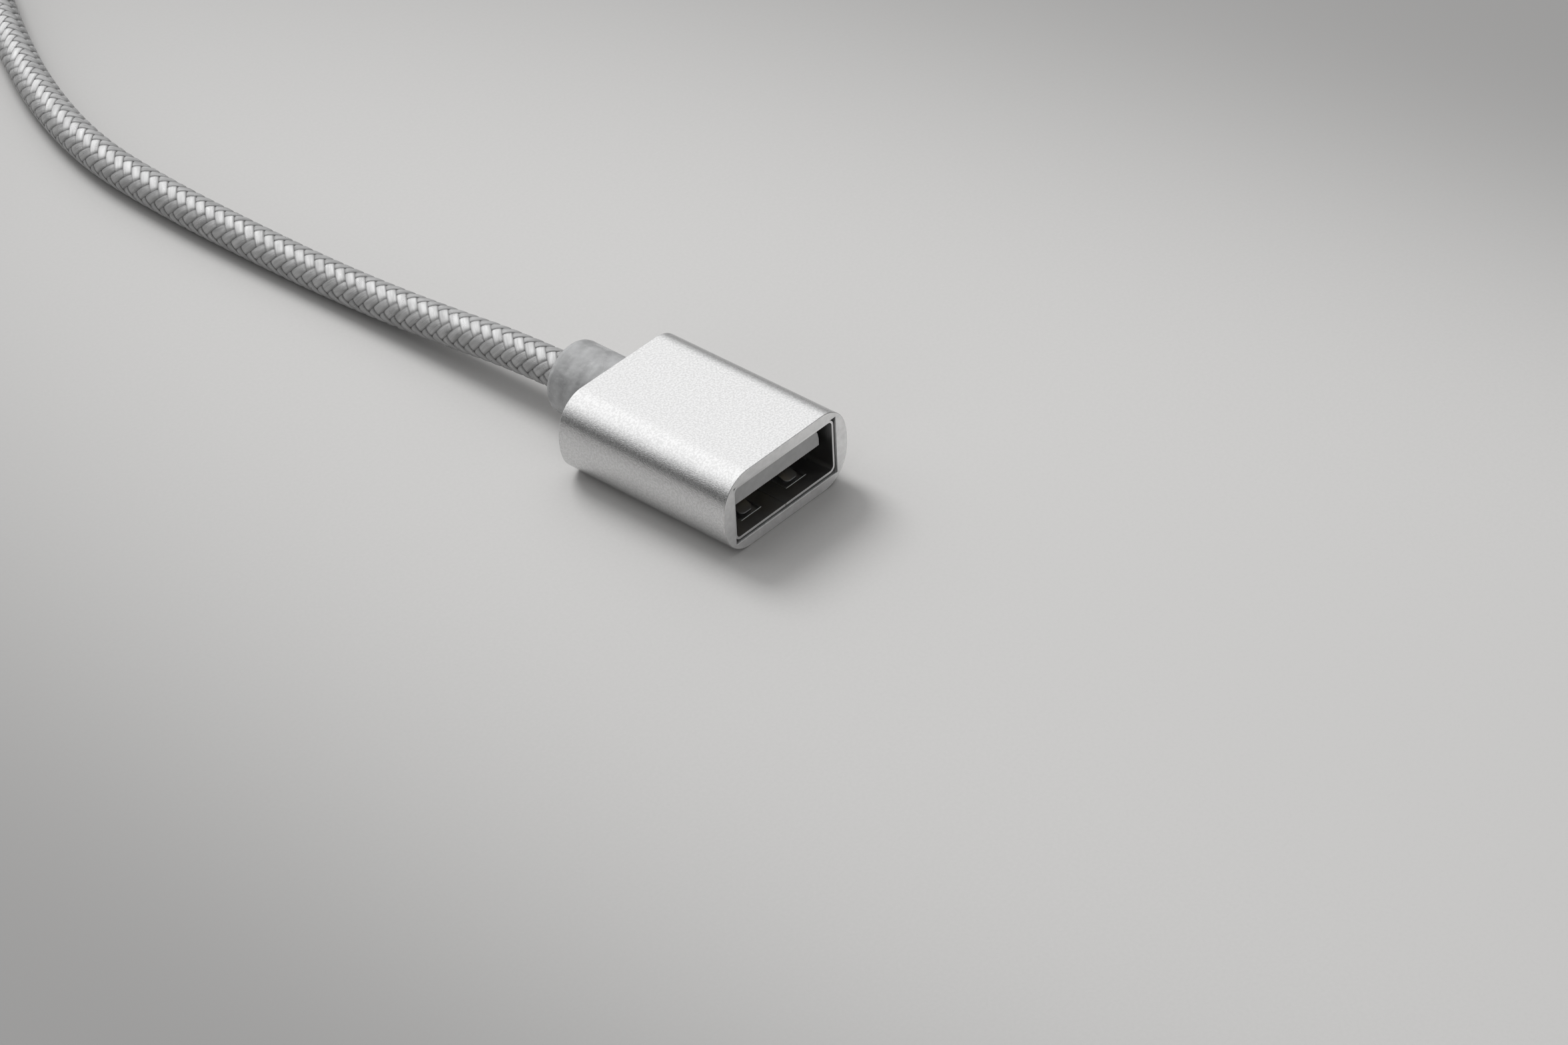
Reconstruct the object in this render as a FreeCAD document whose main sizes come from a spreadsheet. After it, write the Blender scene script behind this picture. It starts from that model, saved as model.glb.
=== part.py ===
"""Short braided charging lead: a flat socket in an aluminium sleeve, a braided cable, and a small
oval plug in a matching sleeve.

Frame: +Z up, the mouth of the socket faces -Y and the cable leaves towards +Y. The origin is at
the bottom centre of the socket end, so that sleeve rests on Z = 0. All sizes are in millimetres.

Each end is drawn in a frame of its own, along +Y, with its axis at height 0. The socket's frame
starts at the mouth. The plug's frame starts where the cable enters it and runs to its tip.
Sizes are written as sums of names, which bind() turns into expressions of the size sheet.
"""

import FreeCAD, Part
import math
import os
import Sketcher
from FreeCAD import Placement, Rotation, Vector

# Driving sizes
SIZES = {
    # Socket sleeve, a flat aluminium extrusion with a square hole through it
    "socket_side_wall": 1.425,
    "socket_top_wall": 1.04,
    "socket_sleeve_corner_radius": 3.1,
    "socket_sleeve_side_radius": 6.3,
    # Socket shell, folded from steel sheet with its butt seam at the bottom
    "mouth_width": 12.5,
    "mouth_height": 5.12,
    "shell_wall": 0.25,
    "shell_corner_radius": 0.45,
    "shell_length": 13.0,
    "shell_recess": 0.2,
    "shell_side_gap": 0.075,
    "shell_top_gap": 0.15,
    "seam_width": 0.05,
    # Two windows in the shell's floor, each with a spring finger
    "window_offset": 2.92,
    "window_front": 1.45,
    "window_width": 2.55,
    "window_length": 6.0,
    "finger_width": 1.6,
    "finger_tip_gap": 0.3,
    "finger_tip_rise": 0.15,
    "finger_tip_radius": 0.5,
    "finger_crest_back": 1.3,
    "finger_rise": 0.5,
    "finger_root": 0.4,
    # Insulator, a block with the tongue that carries the contacts
    "tongue_side_gap": 0.7,
    "tongue_thickness": 1.84,
    "tongue_top_gap": 0.68,
    "tongue_front": 1.1,
    "tongue_chamfer": 0.42,
    "tongue_chamfer_start": 0.13,
    "tongue_shoulder": 1.15,
    "tongue_shoulder_start": 0.52,
    "base_length": 3.0,
    "base_clearance": 0.05,
    "groove_front_wall": 0.35,
    "groove_depth": 0.6,
    # Socket contacts, bent strips under the tongue
    "contact_width": 1.0,
    "contact_thickness": 0.2,
    "contact_clearance": 0.05,
    "data_offset": 1.0,
    "power_offset": 3.5,
    "data_set_back": 1.0,
    "contact_tip_gap": 0.15,
    "contact_tip_rise": 0.25,
    "contact_bow": 0.35,
    "contact_bow_back": 1.6,
    "contact_lane": 0.15,
    "contact_tail": 0.75,
    # Moulded pieces in and behind the socket sleeve
    "fill_clearance": 0.03,
    "socket_mould_length": 3.6,
    "socket_relief_block": 2.4,
    "socket_boot_wall": 1.65,
    "socket_boot_length": 6.0,
    "socket_boot_edge_radius": 0.6,
    # Cable, and the wires that leave it at both ends
    "cable_diameter": 3.6,
    "bore_clearance": 0.05,
    "floor_clearance": 0.02,
    "wire_diameter": 0.72,
    "wire_spread": 0.62,
    "wire_gap": 0.05,
    "wire_first_run": 0.9,
    "wire_last_run": 1.0,
    "wire_lead": 0.4,
    # Plug sleeve
    "plug_side_wall": 1.225,
    "plug_top_wall": 1.0,
    "plug_sleeve_corner_radius": 2.4,
    "plug_sleeve_side_radius": 5.0,
    "plug_hole_side": 0.55,
    "plug_hole_top": 1.1,
    # Plug shell, a drawn oval steel tube
    "plug_shell_width": 8.25,
    "plug_shell_height": 2.4,
    "plug_shell_wall": 0.25,
    "plug_reach": 6.65,
    "plug_shell_hold": 6.3,
    "plug_fill_recess": 0.2,
    # Plug insulator
    "plug_fit": 0.03,
    "plug_face_recess": 0.35,
    "plug_cavity_wall": 0.525,
    "plug_cavity_height": 0.8,
    "plug_cavity_depth": 5.9,
    "plug_core_recess": 0.4,
    # Plug contacts, in an upper and a lower row
    "pin_margin": 0.6,
    "pin_width": 0.25,
    "pin_thickness": 0.15,
    "pin_clearance": 0.03,
    "pin_lane": 0.45,
    "pin_bow": 0.17,
    "pin_bow_back": 1.3,
    "pin_front_gap": 0.8,
    "pin_tail": 1.9,
    # Side latches and ground springs
    "latch_gap": 0.1,
    "latch_thickness": 0.2,
    "latch_height": 0.8,
    "latch_clearance": 0.05,
    "latch_hook": 0.2,
    "latch_hook_length": 0.8,
    "latch_front_gap": 1.2,
    "latch_tail": 0.5,
    "spring_side_gap": 0.75,
    "spring_length": 2.2,
    "spring_thickness": 0.1,
    "spring_front_gap": 1.7,
    # Circuit board and its resistor
    "board_side_gap": 0.05,
    "board_lead": 3.4,
    "board_length": 5.9,
    "board_thickness": 0.6,
    "board_gap": 0.2,
    "resistor_length": 1.0,
    "resistor_width": 0.5,
    "resistor_height": 0.35,
    "resistor_gap": 0.6,
    "pad_length": 1.2,
    # Moulded pieces behind the plug
    "plug_relief_block": 3.0,
    "plug_boot_wall": 0.95,
    "plug_boot_length": 5.0,
    "plug_boot_edge_radius": 0.5,
}

# Sizes that follow from the driving ones, as formulas of the sheet
FOLLOWING = {
    "shell_width": "mouth_width + 2 * shell_wall",
    "shell_height": "mouth_height + 2 * shell_wall",
    "shell_outer_radius": "shell_corner_radius + shell_wall",
    "shell_end": "shell_recess + shell_length",
    "hole_width": "shell_width + 2 * shell_side_gap",
    "hole_height": "shell_height + 2 * shell_top_gap",
    "socket_sleeve_width": "hole_width + 2 * socket_side_wall",
    "socket_sleeve_height": "hole_height + 2 * socket_top_wall",
    "window_start": "shell_recess + window_front",
    "window_end": "window_start + window_length",
    "base_width": "mouth_width - 2 * base_clearance",
    "base_height": "mouth_height - 2 * base_clearance",
    "base_radius": "shell_corner_radius - base_clearance",
    "base_start": "shell_end - base_length",
    "tongue_width": "mouth_width - 2 * tongue_side_gap",
    "tongue_top": "mouth_height / 2 - tongue_top_gap",
    "tongue_bottom": "tongue_top - tongue_thickness",
    "slot_width": "contact_width + 2 * contact_clearance",
    "slot_height": "contact_thickness + 2 * contact_clearance",
    "groove_start": "tongue_front + groove_front_wall",
    "lane_height": "tongue_bottom + contact_lane",
    "tail_end": "shell_end + contact_tail",
    "socket_block_start": "shell_end + socket_mould_length",
    "socket_sleeve_length": "socket_block_start + socket_relief_block",
    "socket_relief_width": "hole_width - 2 * fill_clearance",
    "socket_relief_height": "hole_height - 2 * fill_clearance",
    "socket_end_length": "socket_sleeve_length + socket_boot_length",
    "socket_place": "0 - socket_end_length / 2",
    "bore_diameter": "cable_diameter + 2 * bore_clearance",
    "socket_boot_diameter": "bore_diameter + 2 * socket_boot_wall",
    "plug_boot_diameter": "bore_diameter + 2 * plug_boot_wall",
    "plug_hole_width": "plug_shell_width + 2 * plug_hole_side",
    "plug_hole_height": "plug_shell_height + 2 * plug_hole_top",
    "plug_sleeve_width": "plug_hole_width + 2 * plug_side_wall",
    "plug_sleeve_height": "plug_hole_height + 2 * plug_top_wall",
    "plug_block_end": "plug_boot_length + plug_relief_block",
    "board_start": "plug_block_end + board_lead",
    "board_end": "board_start + board_length",
    "plug_shell_start": "board_end + board_gap",
    "plug_fill_end": "plug_shell_start + plug_shell_hold",
    "plug_sleeve_end": "plug_fill_end + plug_fill_recess",
    "plug_sleeve_length": "plug_sleeve_end - plug_boot_length",
    "plug_shell_end": "plug_sleeve_end + plug_reach",
    "plug_shell_length": "plug_shell_end - plug_shell_start",
    "plug_inner_width": "plug_shell_width - 2 * plug_shell_wall",
    "plug_inner_height": "plug_shell_height - 2 * plug_shell_wall",
    "core_width": "plug_inner_width - 2 * plug_fit",
    "core_height": "plug_inner_height - 2 * plug_fit",
    "core_start": "plug_shell_start + plug_core_recess",
    "core_end": "plug_shell_end - plug_face_recess",
    "core_length": "core_end - core_start",
    "plug_cavity_width": "plug_inner_width - 2 * plug_cavity_wall",
    "cavity_start": "core_end - plug_cavity_depth",
    "pitch": "(plug_cavity_width - 2 * pin_margin) / 11",
    "pin_slot_width": "pin_width + 2 * pin_clearance",
    "pin_roof": "pin_lane + pin_thickness + pin_clearance",
    "pin_floor": "pin_lane - pin_clearance",
    "pin_tip": "core_end - pin_front_gap",
    "latch_offset": "plug_cavity_width / 2 + latch_gap",
    "latch_slot_height": "latch_height + 2 * latch_clearance",
    "latch_end": "core_end - latch_front_gap",
    "latch_start": "plug_shell_start - latch_tail",
    "spring_width": "plug_cavity_width - 2 * spring_side_gap",
    "spring_start": "core_end - spring_front_gap - spring_length",
    "board_width": "plug_cavity_width - 2 * board_side_gap",
    "pad_pitch": "board_width / 4",
    "plug_relief_width": "plug_hole_width - 2 * fill_clearance",
    "plug_relief_height": "plug_hole_height - 2 * fill_clearance",
}

# Corner centres of the two sleeve sections, where the bowed sides meet the corner arcs
for sleeve in ("socket_sleeve", "plug_sleeve"):
    FOLLOWING[sleeve + "_corner_up"] = sleeve + "_height / 2 - " + sleeve + "_corner_radius"
    FOLLOWING[sleeve + "_side_across"] = sleeve + "_width / 2 - " + sleeve + "_side_radius"
    FOLLOWING[sleeve + "_corner_across"] = (
        "{0}_side_across + sqrt(({0}_side_radius - {0}_corner_radius) ^ 2 - {0}_corner_up ^ 2)"
    ).format(sleeve)

# Sizes that are also used as a half, under the same name with half_ in front
HALVED = [
    "socket_sleeve_height", "mouth_width", "mouth_height", "shell_width", "shell_height",
    "hole_width", "hole_height", "seam_width", "window_width", "base_width", "base_height",
    "tongue_width", "slot_width", "socket_relief_width", "socket_relief_height",
    "bore_diameter", "socket_boot_diameter", "plug_sleeve_height", "plug_hole_width",
    "plug_hole_height", "plug_shell_width", "plug_shell_height", "plug_inner_width",
    "plug_inner_height", "core_width", "core_height", "plug_cavity_width",
    "plug_cavity_height", "pin_slot_width", "latch_slot_height", "spring_width",
    "board_width", "board_thickness", "resistor_length", "plug_relief_width",
    "plug_relief_height", "plug_boot_diameter",
]

# The socket's contacts: how far each lies across, and how far its tip is set back
CONTACTS = {
    "power": ("0 - power_offset", "0"),
    "data_minus": ("0 - data_offset", "data_set_back"),
    "data_plus": ("data_offset", "data_set_back"),
    "ground": ("power_offset", "0"),
}

# Contacts of the plug, by their places in a row of twelve
UPPER_PINS = [1, 4, 5, 6, 7, 9, 12]
LOWER_PINS = [1, 4, 5, 9, 12]
ROW_MIDDLE = 6.5

# Route of the cable in plan, from the straight run out of the socket to the run into the plug
ROUTE = [
    (0.0, 16.6),
    (-0.30, 30.0),
    (-0.55, 41.5),
    (-0.75, 53.0),
    (-0.62, 64.5),
    (0.35, 76.5),
    (4.3, 88.5),
    (10.4, 100.3),
    (17.0, 110.8),
    (21.0, 123.1),
]
DROP_HEIGHT = 2.5
LAST_RUN = 12.6
PLUG_HEADING = 6.0

doc = FreeCAD.newDocument("braided_lead")
sheet = doc.addObject("Spreadsheet::Sheet", "sizes")
nodes = []


# Size sheet

def fill_sheet():
    """Writes the driving sizes, what follows from them, and the halves, each with its alias."""
    rows = [(name, str(value)) for name, value in SIZES.items()]
    rows += [(name, "=" + formula) for name, formula in FOLLOWING.items()]
    rows += [("half_" + name, "=" + name + " / 2") for name in HALVED]
    for row, (name, content) in enumerate(rows, start=1):
        sheet.set("A%d" % row, name)
        sheet.set("B%d" % row, content)
        sheet.setAlias("B%d" % row, name)
    doc.recompute()


def number(formula):
    """The value of a sum of sheet names and plain numbers, such as 'shell_end - base_length'."""
    total, sign = 0.0, 1
    for word in formula.split():
        if word in "+-":
            sign = 1 if word == "+" else -1
        else:
            total += sign * (float(getattr(sheet, word)) if word[0].isalpha() else float(word))
    return total


def negative(formula):
    """The same sum with every sign changed."""
    swapped = {"+": "-", "-": "+"}
    return "0 - " + " ".join(swapped.get(word, word) for word in formula.split())


def bind(thing, name, formula):
    """Binds a property or a constraint to a sum of sheet names."""
    words = ("sizes." + word if word[0].isalpha() else word for word in formula.split())
    thing.setExpression(name, " ".join(words))


# Bodies, sketches and their features

def new_body(label):
    body = doc.addObject("PartDesign::Body", label)
    body.Label = label
    return body


def new_sketch(body, name, role, offset="0"):
    """A sketch on one of the body's origin planes, moved along the plane's normal."""
    sketch = body.newObject("Sketcher::SketchObject", name)
    plane = next(item for item in body.Origin.OriginFeatures if item.Role == role)
    sketch.AttachmentSupport = [(plane, "")]
    sketch.MapMode = "FlatFace"
    bind(sketch, "AttachmentOffset.Base.z", offset)
    return sketch


def section_sketch(body, name, start):
    """A sketch across the end's axis, where its pad starts."""
    return new_sketch(body, name, "XZ_Plane", negative(start))


def fix_point(sketch, geometry, corner, across, up):
    for kind, formula in (("DistanceX", across), ("DistanceY", up)):
        place = Sketcher.Constraint(kind, -1, 1, geometry, corner, number(formula))
        bind(sketch, "Constraints[%d]" % sketch.addConstraint(place), formula)


def add_polygon(sketch, corners):
    """A closed polygon through corners, each a pair of sums."""
    first, count = sketch.GeometryCount, len(corners)
    places = [Vector(number(across), number(up), 0) for across, up in corners]
    for here, there in zip(places, places[1:] + places[:1]):
        sketch.addGeometry(Part.LineSegment(here, there), False)
    for index, (across, up) in enumerate(corners):
        after = first + (index + 1) % count
        sketch.addConstraint(Sketcher.Constraint("Coincident", first + index, 2, after, 1))
        fix_point(sketch, first + index, 1, across, up)


def add_rectangle(sketch, half_width, half_height):
    left, low = negative(half_width), negative(half_height)
    corners = [(left, low), (half_width, low), (half_width, half_height), (left, half_height)]
    add_polygon(sketch, corners)


def add_smooth_loop(sketch, arcs):
    """A closed anticlockwise loop of arcs, with a tangent line wherever two arcs don't meet.

    Each arc is its centre across and up, its radius, its start and end angle in degrees, and
    whether its centre is fixed or follows from its neighbours.
    """
    pieces = []
    for arc in arcs + arcs[:1]:
        across, up, radius, start, end, _ = arc
        circle = Part.Circle(Vector(number(across), number(up), 0), Vector(0, 0, 1), number(radius))
        shape = Part.ArcOfCircle(circle, math.radians(start), math.radians(end))
        if pieces and (shape.StartPoint - pieces[-1][0].EndPoint).Length > 0.001:
            pieces.append((Part.LineSegment(pieces[-1][0].EndPoint, shape.StartPoint), None))
        pieces.append((shape, arc))
    pieces.pop()
    first = sketch.GeometryCount
    for shape, _ in pieces:
        sketch.addGeometry(shape, False)
    for index, (_, arc) in enumerate(pieces):
        here, after = first + index, first + (index + 1) % len(pieces)
        sketch.addConstraint(Sketcher.Constraint("Tangent", here, 2, after, 1))
        if not arc:
            continue
        across, up, radius, _, _, fixed = arc
        limit = sketch.addConstraint(Sketcher.Constraint("Radius", here, number(radius)))
        bind(sketch, "Constraints[%d]" % limit, radius)
        if fixed:
            fix_point(sketch, here, 3, across, up)


def add_rounded_rectangle(sketch, half_width, half_height, radius):
    right, top = half_width + " - " + radius, half_height + " - " + radius
    left, low = negative(right), negative(top)
    arcs = [
        (right, low, radius, -90, 0, True),
        (right, top, radius, 0, 90, True),
        (left, top, radius, 90, 180, True),
        (left, low, radius, 180, 270, True),
    ]
    add_smooth_loop(sketch, arcs)


def add_oval(sketch, half_width, half_height):
    """Two half circles joined by straight lines."""
    right = half_width + " - " + half_height
    arcs = [
        (right, "0", half_height, -90, 90, True),
        (negative(right), "0", half_height, 90, 270, True),
    ]
    add_smooth_loop(sketch, arcs)


def add_sleeve_outline(sketch, sleeve):
    """Flat top and bottom, four corner arcs, and sides bowed outwards."""
    radius, side_radius = sleeve + "_corner_radius", sleeve + "_side_radius"
    right, top, side = sleeve + "_corner_across", sleeve + "_corner_up", sleeve + "_side_across"
    left, low, far_side = negative(right), negative(top), negative(side)
    turn = math.degrees(math.atan2(number(top), number(right) - number(side)))
    arcs = [
        (side, "0", side_radius, -turn, turn, False),
        (right, top, radius, turn, 90, True),
        (left, top, radius, 90, 180 - turn, True),
        (far_side, "0", side_radius, 180 - turn, 180 + turn, False),
        (left, low, radius, 180 + turn, 270, True),
        (right, low, radius, 270, 360 - turn, True),
    ]
    add_smooth_loop(sketch, arcs)


def pad(body, sketch, length):
    """Pads a section along the end's axis."""
    feature = body.newObject("PartDesign::Pad", sketch.Name + "_pad")
    feature.Profile = sketch
    feature.Reversed = True
    bind(feature, "Length", length)


def pad_both_ways(body, sketch, length):
    """Pads an outline to both sides of its plane, by half the length each."""
    feature = body.newObject("PartDesign::Pad", sketch.Name + "_pad")
    feature.Profile = sketch
    feature.SideType = "Symmetric"
    bind(feature, "Length", length)


def add_box(body, name, lengths, corner, kind="Additive"):
    """A box from its lengths and its lowest corner."""
    box = body.newObject("PartDesign::" + kind + "Box", name)
    for side, length in zip(("Length", "Width", "Height"), lengths):
        bind(box, side, length)
    for axis, place in zip("xyz", corner):
        bind(box, "Placement.Base." + axis, place)
    return box


def cut_box(body, name, lengths, corner):
    return add_box(body, name, lengths, corner, "Subtractive")


def add_cylinder(body, name, radius, length, start, kind="Additive"):
    """A cylinder about the end's axis, along +Y from start."""
    cylinder = body.newObject("PartDesign::" + kind + "Cylinder", name)
    cylinder.Placement = Placement(Vector(), Rotation(Vector(1, 0, 0), -90))
    bind(cylinder, "Radius", radius)
    bind(cylinder, "Height", length)
    bind(cylinder, "Placement.Base.y", start)


def round_edges(body, name, radius, wanted):
    """Rounds the edges of the body so far for which wanted() is true."""
    doc.recompute()
    solid = body.Tip
    edges = enumerate(solid.Shape.Edges, start=1)
    chosen = ["Edge%d" % index for index, edge in edges if wanted(edge)]
    if not chosen:
        raise ValueError(name + " finds no edge")
    fillet = body.newObject("PartDesign::Fillet", name)
    fillet.Base = (solid, chosen)
    bind(fillet, "Radius", radius)


def bent_strip(path, thickness):
    """The outline of a strip: its lower side's points, then the same points thickness higher."""
    return path + [(along, up + " + " + thickness) for along, up in reversed(path)]


# Nodes and their places

def place_node(thing, end):
    """Puts a piece into the frame of its end and lists it as a node."""
    if end == "socket":
        bind(thing, "Placement.Base.y", "socket_place")
        bind(thing, "Placement.Base.z", "half_socket_sleeve_height")
    elif end == "plug":
        thing.Placement = plug_frame()
    nodes.append(thing)


def feature_node(label, shape, end):
    """A piece that follows bent wires, so it is shaped here from the sheet's sizes."""
    if not shape.isValid() or len(shape.Solids) != 1:
        raise ValueError(label + " isn't one valid solid")
    thing = doc.addObject("Part::Feature", label)
    thing.Label = label
    thing.Shape = shape
    place_node(thing, end)


def local_shape(label):
    """A finished piece's shape in the frame of its end."""
    doc.recompute()
    shape = doc.getObject(label).Shape.copy()
    shape.Placement = Placement()
    return shape


def plug_frame():
    """The plug lies on the table and points along the cable's last run."""
    turn = math.radians(PLUG_HEADING)
    outside = LAST_RUN - number("plug_block_end")
    across, along = ROUTE[-1]
    place = Vector(
        across + outside * math.sin(turn),
        along + outside * math.cos(turn),
        number("half_plug_sleeve_height"),
    )
    return Placement(place, Rotation(Vector(0, 0, 1), -PLUG_HEADING))


# Round tubes

def rounded_path(points):
    """Straight runs joined by tangent arcs, each as large as its two runs allow.

    An arc starts 0.45 of the shorter run before its point, so its radius is that length
    divided by the tangent of half the turn. Returns the edges and the radii.
    """
    edges, radii, start = [], [], points[0]
    for before, here, after in zip(points, points[1:], points[2:]):
        coming, leaving = here - before, after - here
        setback = 0.45 * min(coming.Length, leaving.Length)
        turn = coming.getAngle(leaving)
        coming.normalize()
        leaving.normalize()
        radius = setback / math.tan(turn / 2)
        arc_start, arc_end = here - coming * setback, here + leaving * setback
        inward = (leaving - coming).normalize()
        middle = here + inward * (radius / math.cos(turn / 2) - radius)
        edges.append(Part.LineSegment(start, arc_start).toShape())
        edges.append(Part.Arc(arc_start, middle, arc_end).toShape())
        radii.append(radius)
        start = arc_end
    edges.append(Part.LineSegment(start, points[-1]).toShape())
    return edges, radii


def round_tube(points, diameter):
    """A round solid along a rounded path, with its length and the radii of its arcs."""
    edges, radii = rounded_path(points)
    path = Part.Wire(edges)
    rim = Part.makeCircle(diameter / 2, points[0], points[1] - points[0])
    tube = path.makePipeShell([Part.Wire([rim])], True, False)
    expected = math.pi * diameter**2 / 4 * path.Length
    if abs(tube.Volume / expected - 1) > 0.002:
        raise ValueError("a tube's volume isn't its section times its length")
    return tube, path.Length, radii


# Socket end

def make_sleeve(end, start, half_hole_width, half_hole_height):
    """An extruded aluminium sleeve with a square hole through it."""
    label = end + "_sleeve"
    body = new_body(label)
    section = section_sketch(body, label + "_section", start)
    add_sleeve_outline(section, label)
    add_rectangle(section, half_hole_width, half_hole_height)
    pad(body, section, label + "_length")
    place_node(body, end)


def make_socket_shell():
    """A folded box of sheet steel, with two windows in its floor and a spring finger in each."""
    body = new_body("socket_shell")
    section = section_sketch(body, "socket_shell_section", "shell_recess")
    add_rounded_rectangle(section, "half_shell_width", "half_shell_height", "shell_outer_radius")
    add_rounded_rectangle(section, "half_mouth_width", "half_mouth_height", "shell_corner_radius")
    pad(body, section, "shell_length")
    through = "shell_wall + shell_wall + shell_wall"
    outside = negative("half_shell_height")
    under = outside + " - shell_wall"
    seam = ("seam_width", "shell_length", through)
    cut_box(body, "seam", seam, (negative("half_seam_width"), "shell_recess", under))
    lower_side = [
        ("window_start + finger_tip_gap", outside + " + finger_tip_rise"),
        ("window_start + finger_crest_back", outside + " + finger_rise"),
        ("window_end", outside),
        ("window_end + finger_root", outside),
    ]
    for side, place in (("left", negative("window_offset")), ("right", "window_offset")):
        window = ("window_width", "window_length", through)
        corner = (place + " - half_window_width", "window_start", under)
        cut_box(body, side + "_window", window, corner)
        outline = new_sketch(body, side + "_finger", "YZ_Plane", place)
        add_polygon(outline, bent_strip(lower_side, "shell_wall"))
        pad_both_ways(body, outline, "finger_width")
    tip = number("window_start + finger_tip_gap")
    wall = number("shell_wall")
    round_edges(
        body,
        "finger_tips",
        "finger_tip_radius",
        lambda edge: abs(edge.Length - wall) < 0.001
        and all(abs(point.Y - tip) < 0.001 for point in edge.Vertexes),
    )
    place_node(body, "socket")


def make_socket_insulator():
    """The block behind the mouth and the tongue in front of it, with a lane for each contact."""
    body = new_body("socket_insulator")
    block = section_sketch(body, "block_section", "base_start")
    add_rounded_rectangle(block, "half_base_width", "half_base_height", "base_radius")
    pad(body, block, "base_length")
    tongue = section_sketch(body, "tongue_section", "tongue_front")
    right_half = [
        ("half_tongue_width", "tongue_bottom"),
        ("half_tongue_width", "tongue_top - tongue_shoulder"),
        ("half_tongue_width - tongue_chamfer_start", "tongue_top - tongue_shoulder_start"),
        ("half_tongue_width - tongue_chamfer", "tongue_top"),
    ]
    left_half = [(negative(across), up) for across, up in reversed(right_half)]
    add_polygon(tongue, right_half + left_half)
    pad(body, tongue, "base_start - tongue_front + base_clearance")
    for name, (place, _) in CONTACTS.items():
        across = place + " - half_slot_width"
        groove = ("slot_width", "base_start - groove_start", "groove_depth + contact_clearance")
        corner = (across, "groove_start", "tongue_bottom - contact_clearance")
        cut_box(body, name + "_groove", groove, corner)
        lane = ("slot_width", "base_length + base_clearance + base_clearance", "slot_height")
        corner = (across, "base_start - base_clearance", "lane_height - contact_clearance")
        cut_box(body, name + "_lane", lane, corner)
    place_node(body, "socket")


def make_socket_contacts():
    """Bent strips: the tip in its groove, a bow below the tongue, then straight to the tail."""
    for name, (place, set_back) in CONTACTS.items():
        body = new_body("socket_contact_" + name)
        outline = new_sketch(body, name + "_outline", "YZ_Plane", place)
        tip = "groove_start + contact_tip_gap + " + set_back
        lower_side = [
            (tip, "tongue_bottom + contact_tip_rise"),
            (tip + " + contact_bow_back", "tongue_bottom - contact_bow"),
            ("base_start - contact_tip_gap", "lane_height"),
            ("tail_end", "lane_height"),
        ]
        add_polygon(outline, bent_strip(lower_side, "contact_thickness"))
        pad_both_ways(body, outline, "contact_width")
        place_node(body, "socket")


def core_places():
    """Where the four wires lie across the cable's end: outer ones above, inner ones below."""
    spread = number("wire_spread")
    return {
        "power": (-spread, spread),
        "data_minus": (-spread, -spread),
        "data_plus": (spread, -spread),
        "ground": (spread, spread),
    }


def make_socket_wires():
    """Four insulated wires from above the contact tails into the cable."""
    diameter = number("wire_diameter")
    height = number("lane_height + contact_thickness + wire_gap") + diameter / 2
    start, end = number("shell_end + wire_gap"), number("socket_block_start")
    for name, (across, up) in core_places().items():
        place = number(CONTACTS[name][0])
        points = [
            Vector(place, start, height),
            Vector(place, start + number("wire_first_run"), height),
            Vector(across, end - number("wire_last_run"), up),
            Vector(across, end, up),
        ]
        wire, _, _ = round_tube(points, diameter)
        feature_node("socket_wire_" + name, wire, "socket")


def moulded_block(end, start, length):
    """A block that fills the sleeve's hole, to be cut by what it was cast round."""
    width, height = number(end + "_relief_width"), number(end + "_relief_height")
    return Part.makeBox(width, length, height, Vector(-width / 2, start, -height / 2))


def make_socket_inner_mould():
    """The block cast round the contact tails and the wires behind the shell."""
    start = number("shell_end")
    block = moulded_block("socket", start, number("socket_block_start") - start)
    inside = ["socket_contact_" + name for name in CONTACTS]
    inside += ["socket_wire_" + name for name in CONTACTS]
    feature_node("socket_inner_mould", block.cut([local_shape(name) for name in inside]), "socket")


def make_strain_relief(end, block_start, boot_start, open_end, bore_start):
    """A block that fills the sleeve's rear and a round boot behind it, bored for the cable."""
    label = end + "_strain_relief"
    body = new_body(label)
    width, height = end + "_relief_width", end + "_relief_height"
    corner = (negative("half_" + width), block_start, negative("half_" + height))
    add_box(body, label + "_block", (width, end + "_relief_block", height), corner)
    radius = "half_" + end + "_boot_diameter"
    add_cylinder(body, label + "_boot", radius, end + "_boot_length", boot_start)
    place, size = number(open_end), number(radius)
    round_edges(
        body,
        label + "_rim",
        end + "_boot_edge_radius",
        lambda edge: isinstance(edge.Curve, Part.Circle)
        and abs(edge.Curve.Center.y - place) < 0.001
        and abs(edge.Curve.Radius - size) < 0.001,
    )
    bore = end + "_relief_block + " + end + "_boot_length"
    add_cylinder(body, label + "_bore", "half_bore_diameter", bore, bore_start, "Subtractive")
    place_node(body, end)


# Cable

def make_cable():
    """The braided cable, as one plain round solid along its route over the table."""
    lying = number("cable_diameter") / 2 + number("floor_clearance")
    socket_axis, plug_axis = number("half_socket_sleeve_height"), number("half_plug_sleeve_height")
    heights = [socket_axis, DROP_HEIGHT] + [lying] * (len(ROUTE) - 3) + [plug_axis]
    points = [Vector(0, number("socket_place + socket_block_start"), socket_axis)]
    points += [Vector(across, along, up) for (across, along), up in zip(ROUTE, heights)]
    points.append(plug_frame().multVec(Vector(0, number("plug_block_end"), 0)))
    tube, length, radii = round_tube(points, number("cable_diameter"))
    feature_node("cable", tube, "table")
    free = length - number("socket_relief_block + socket_boot_length + plug_block_end")
    print("cable length %.2f mm, of it %.2f mm between the boots" % (length, free))
    print("cable arc radii", [round(radius, 1) for radius in radii])


# Plug end

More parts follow.
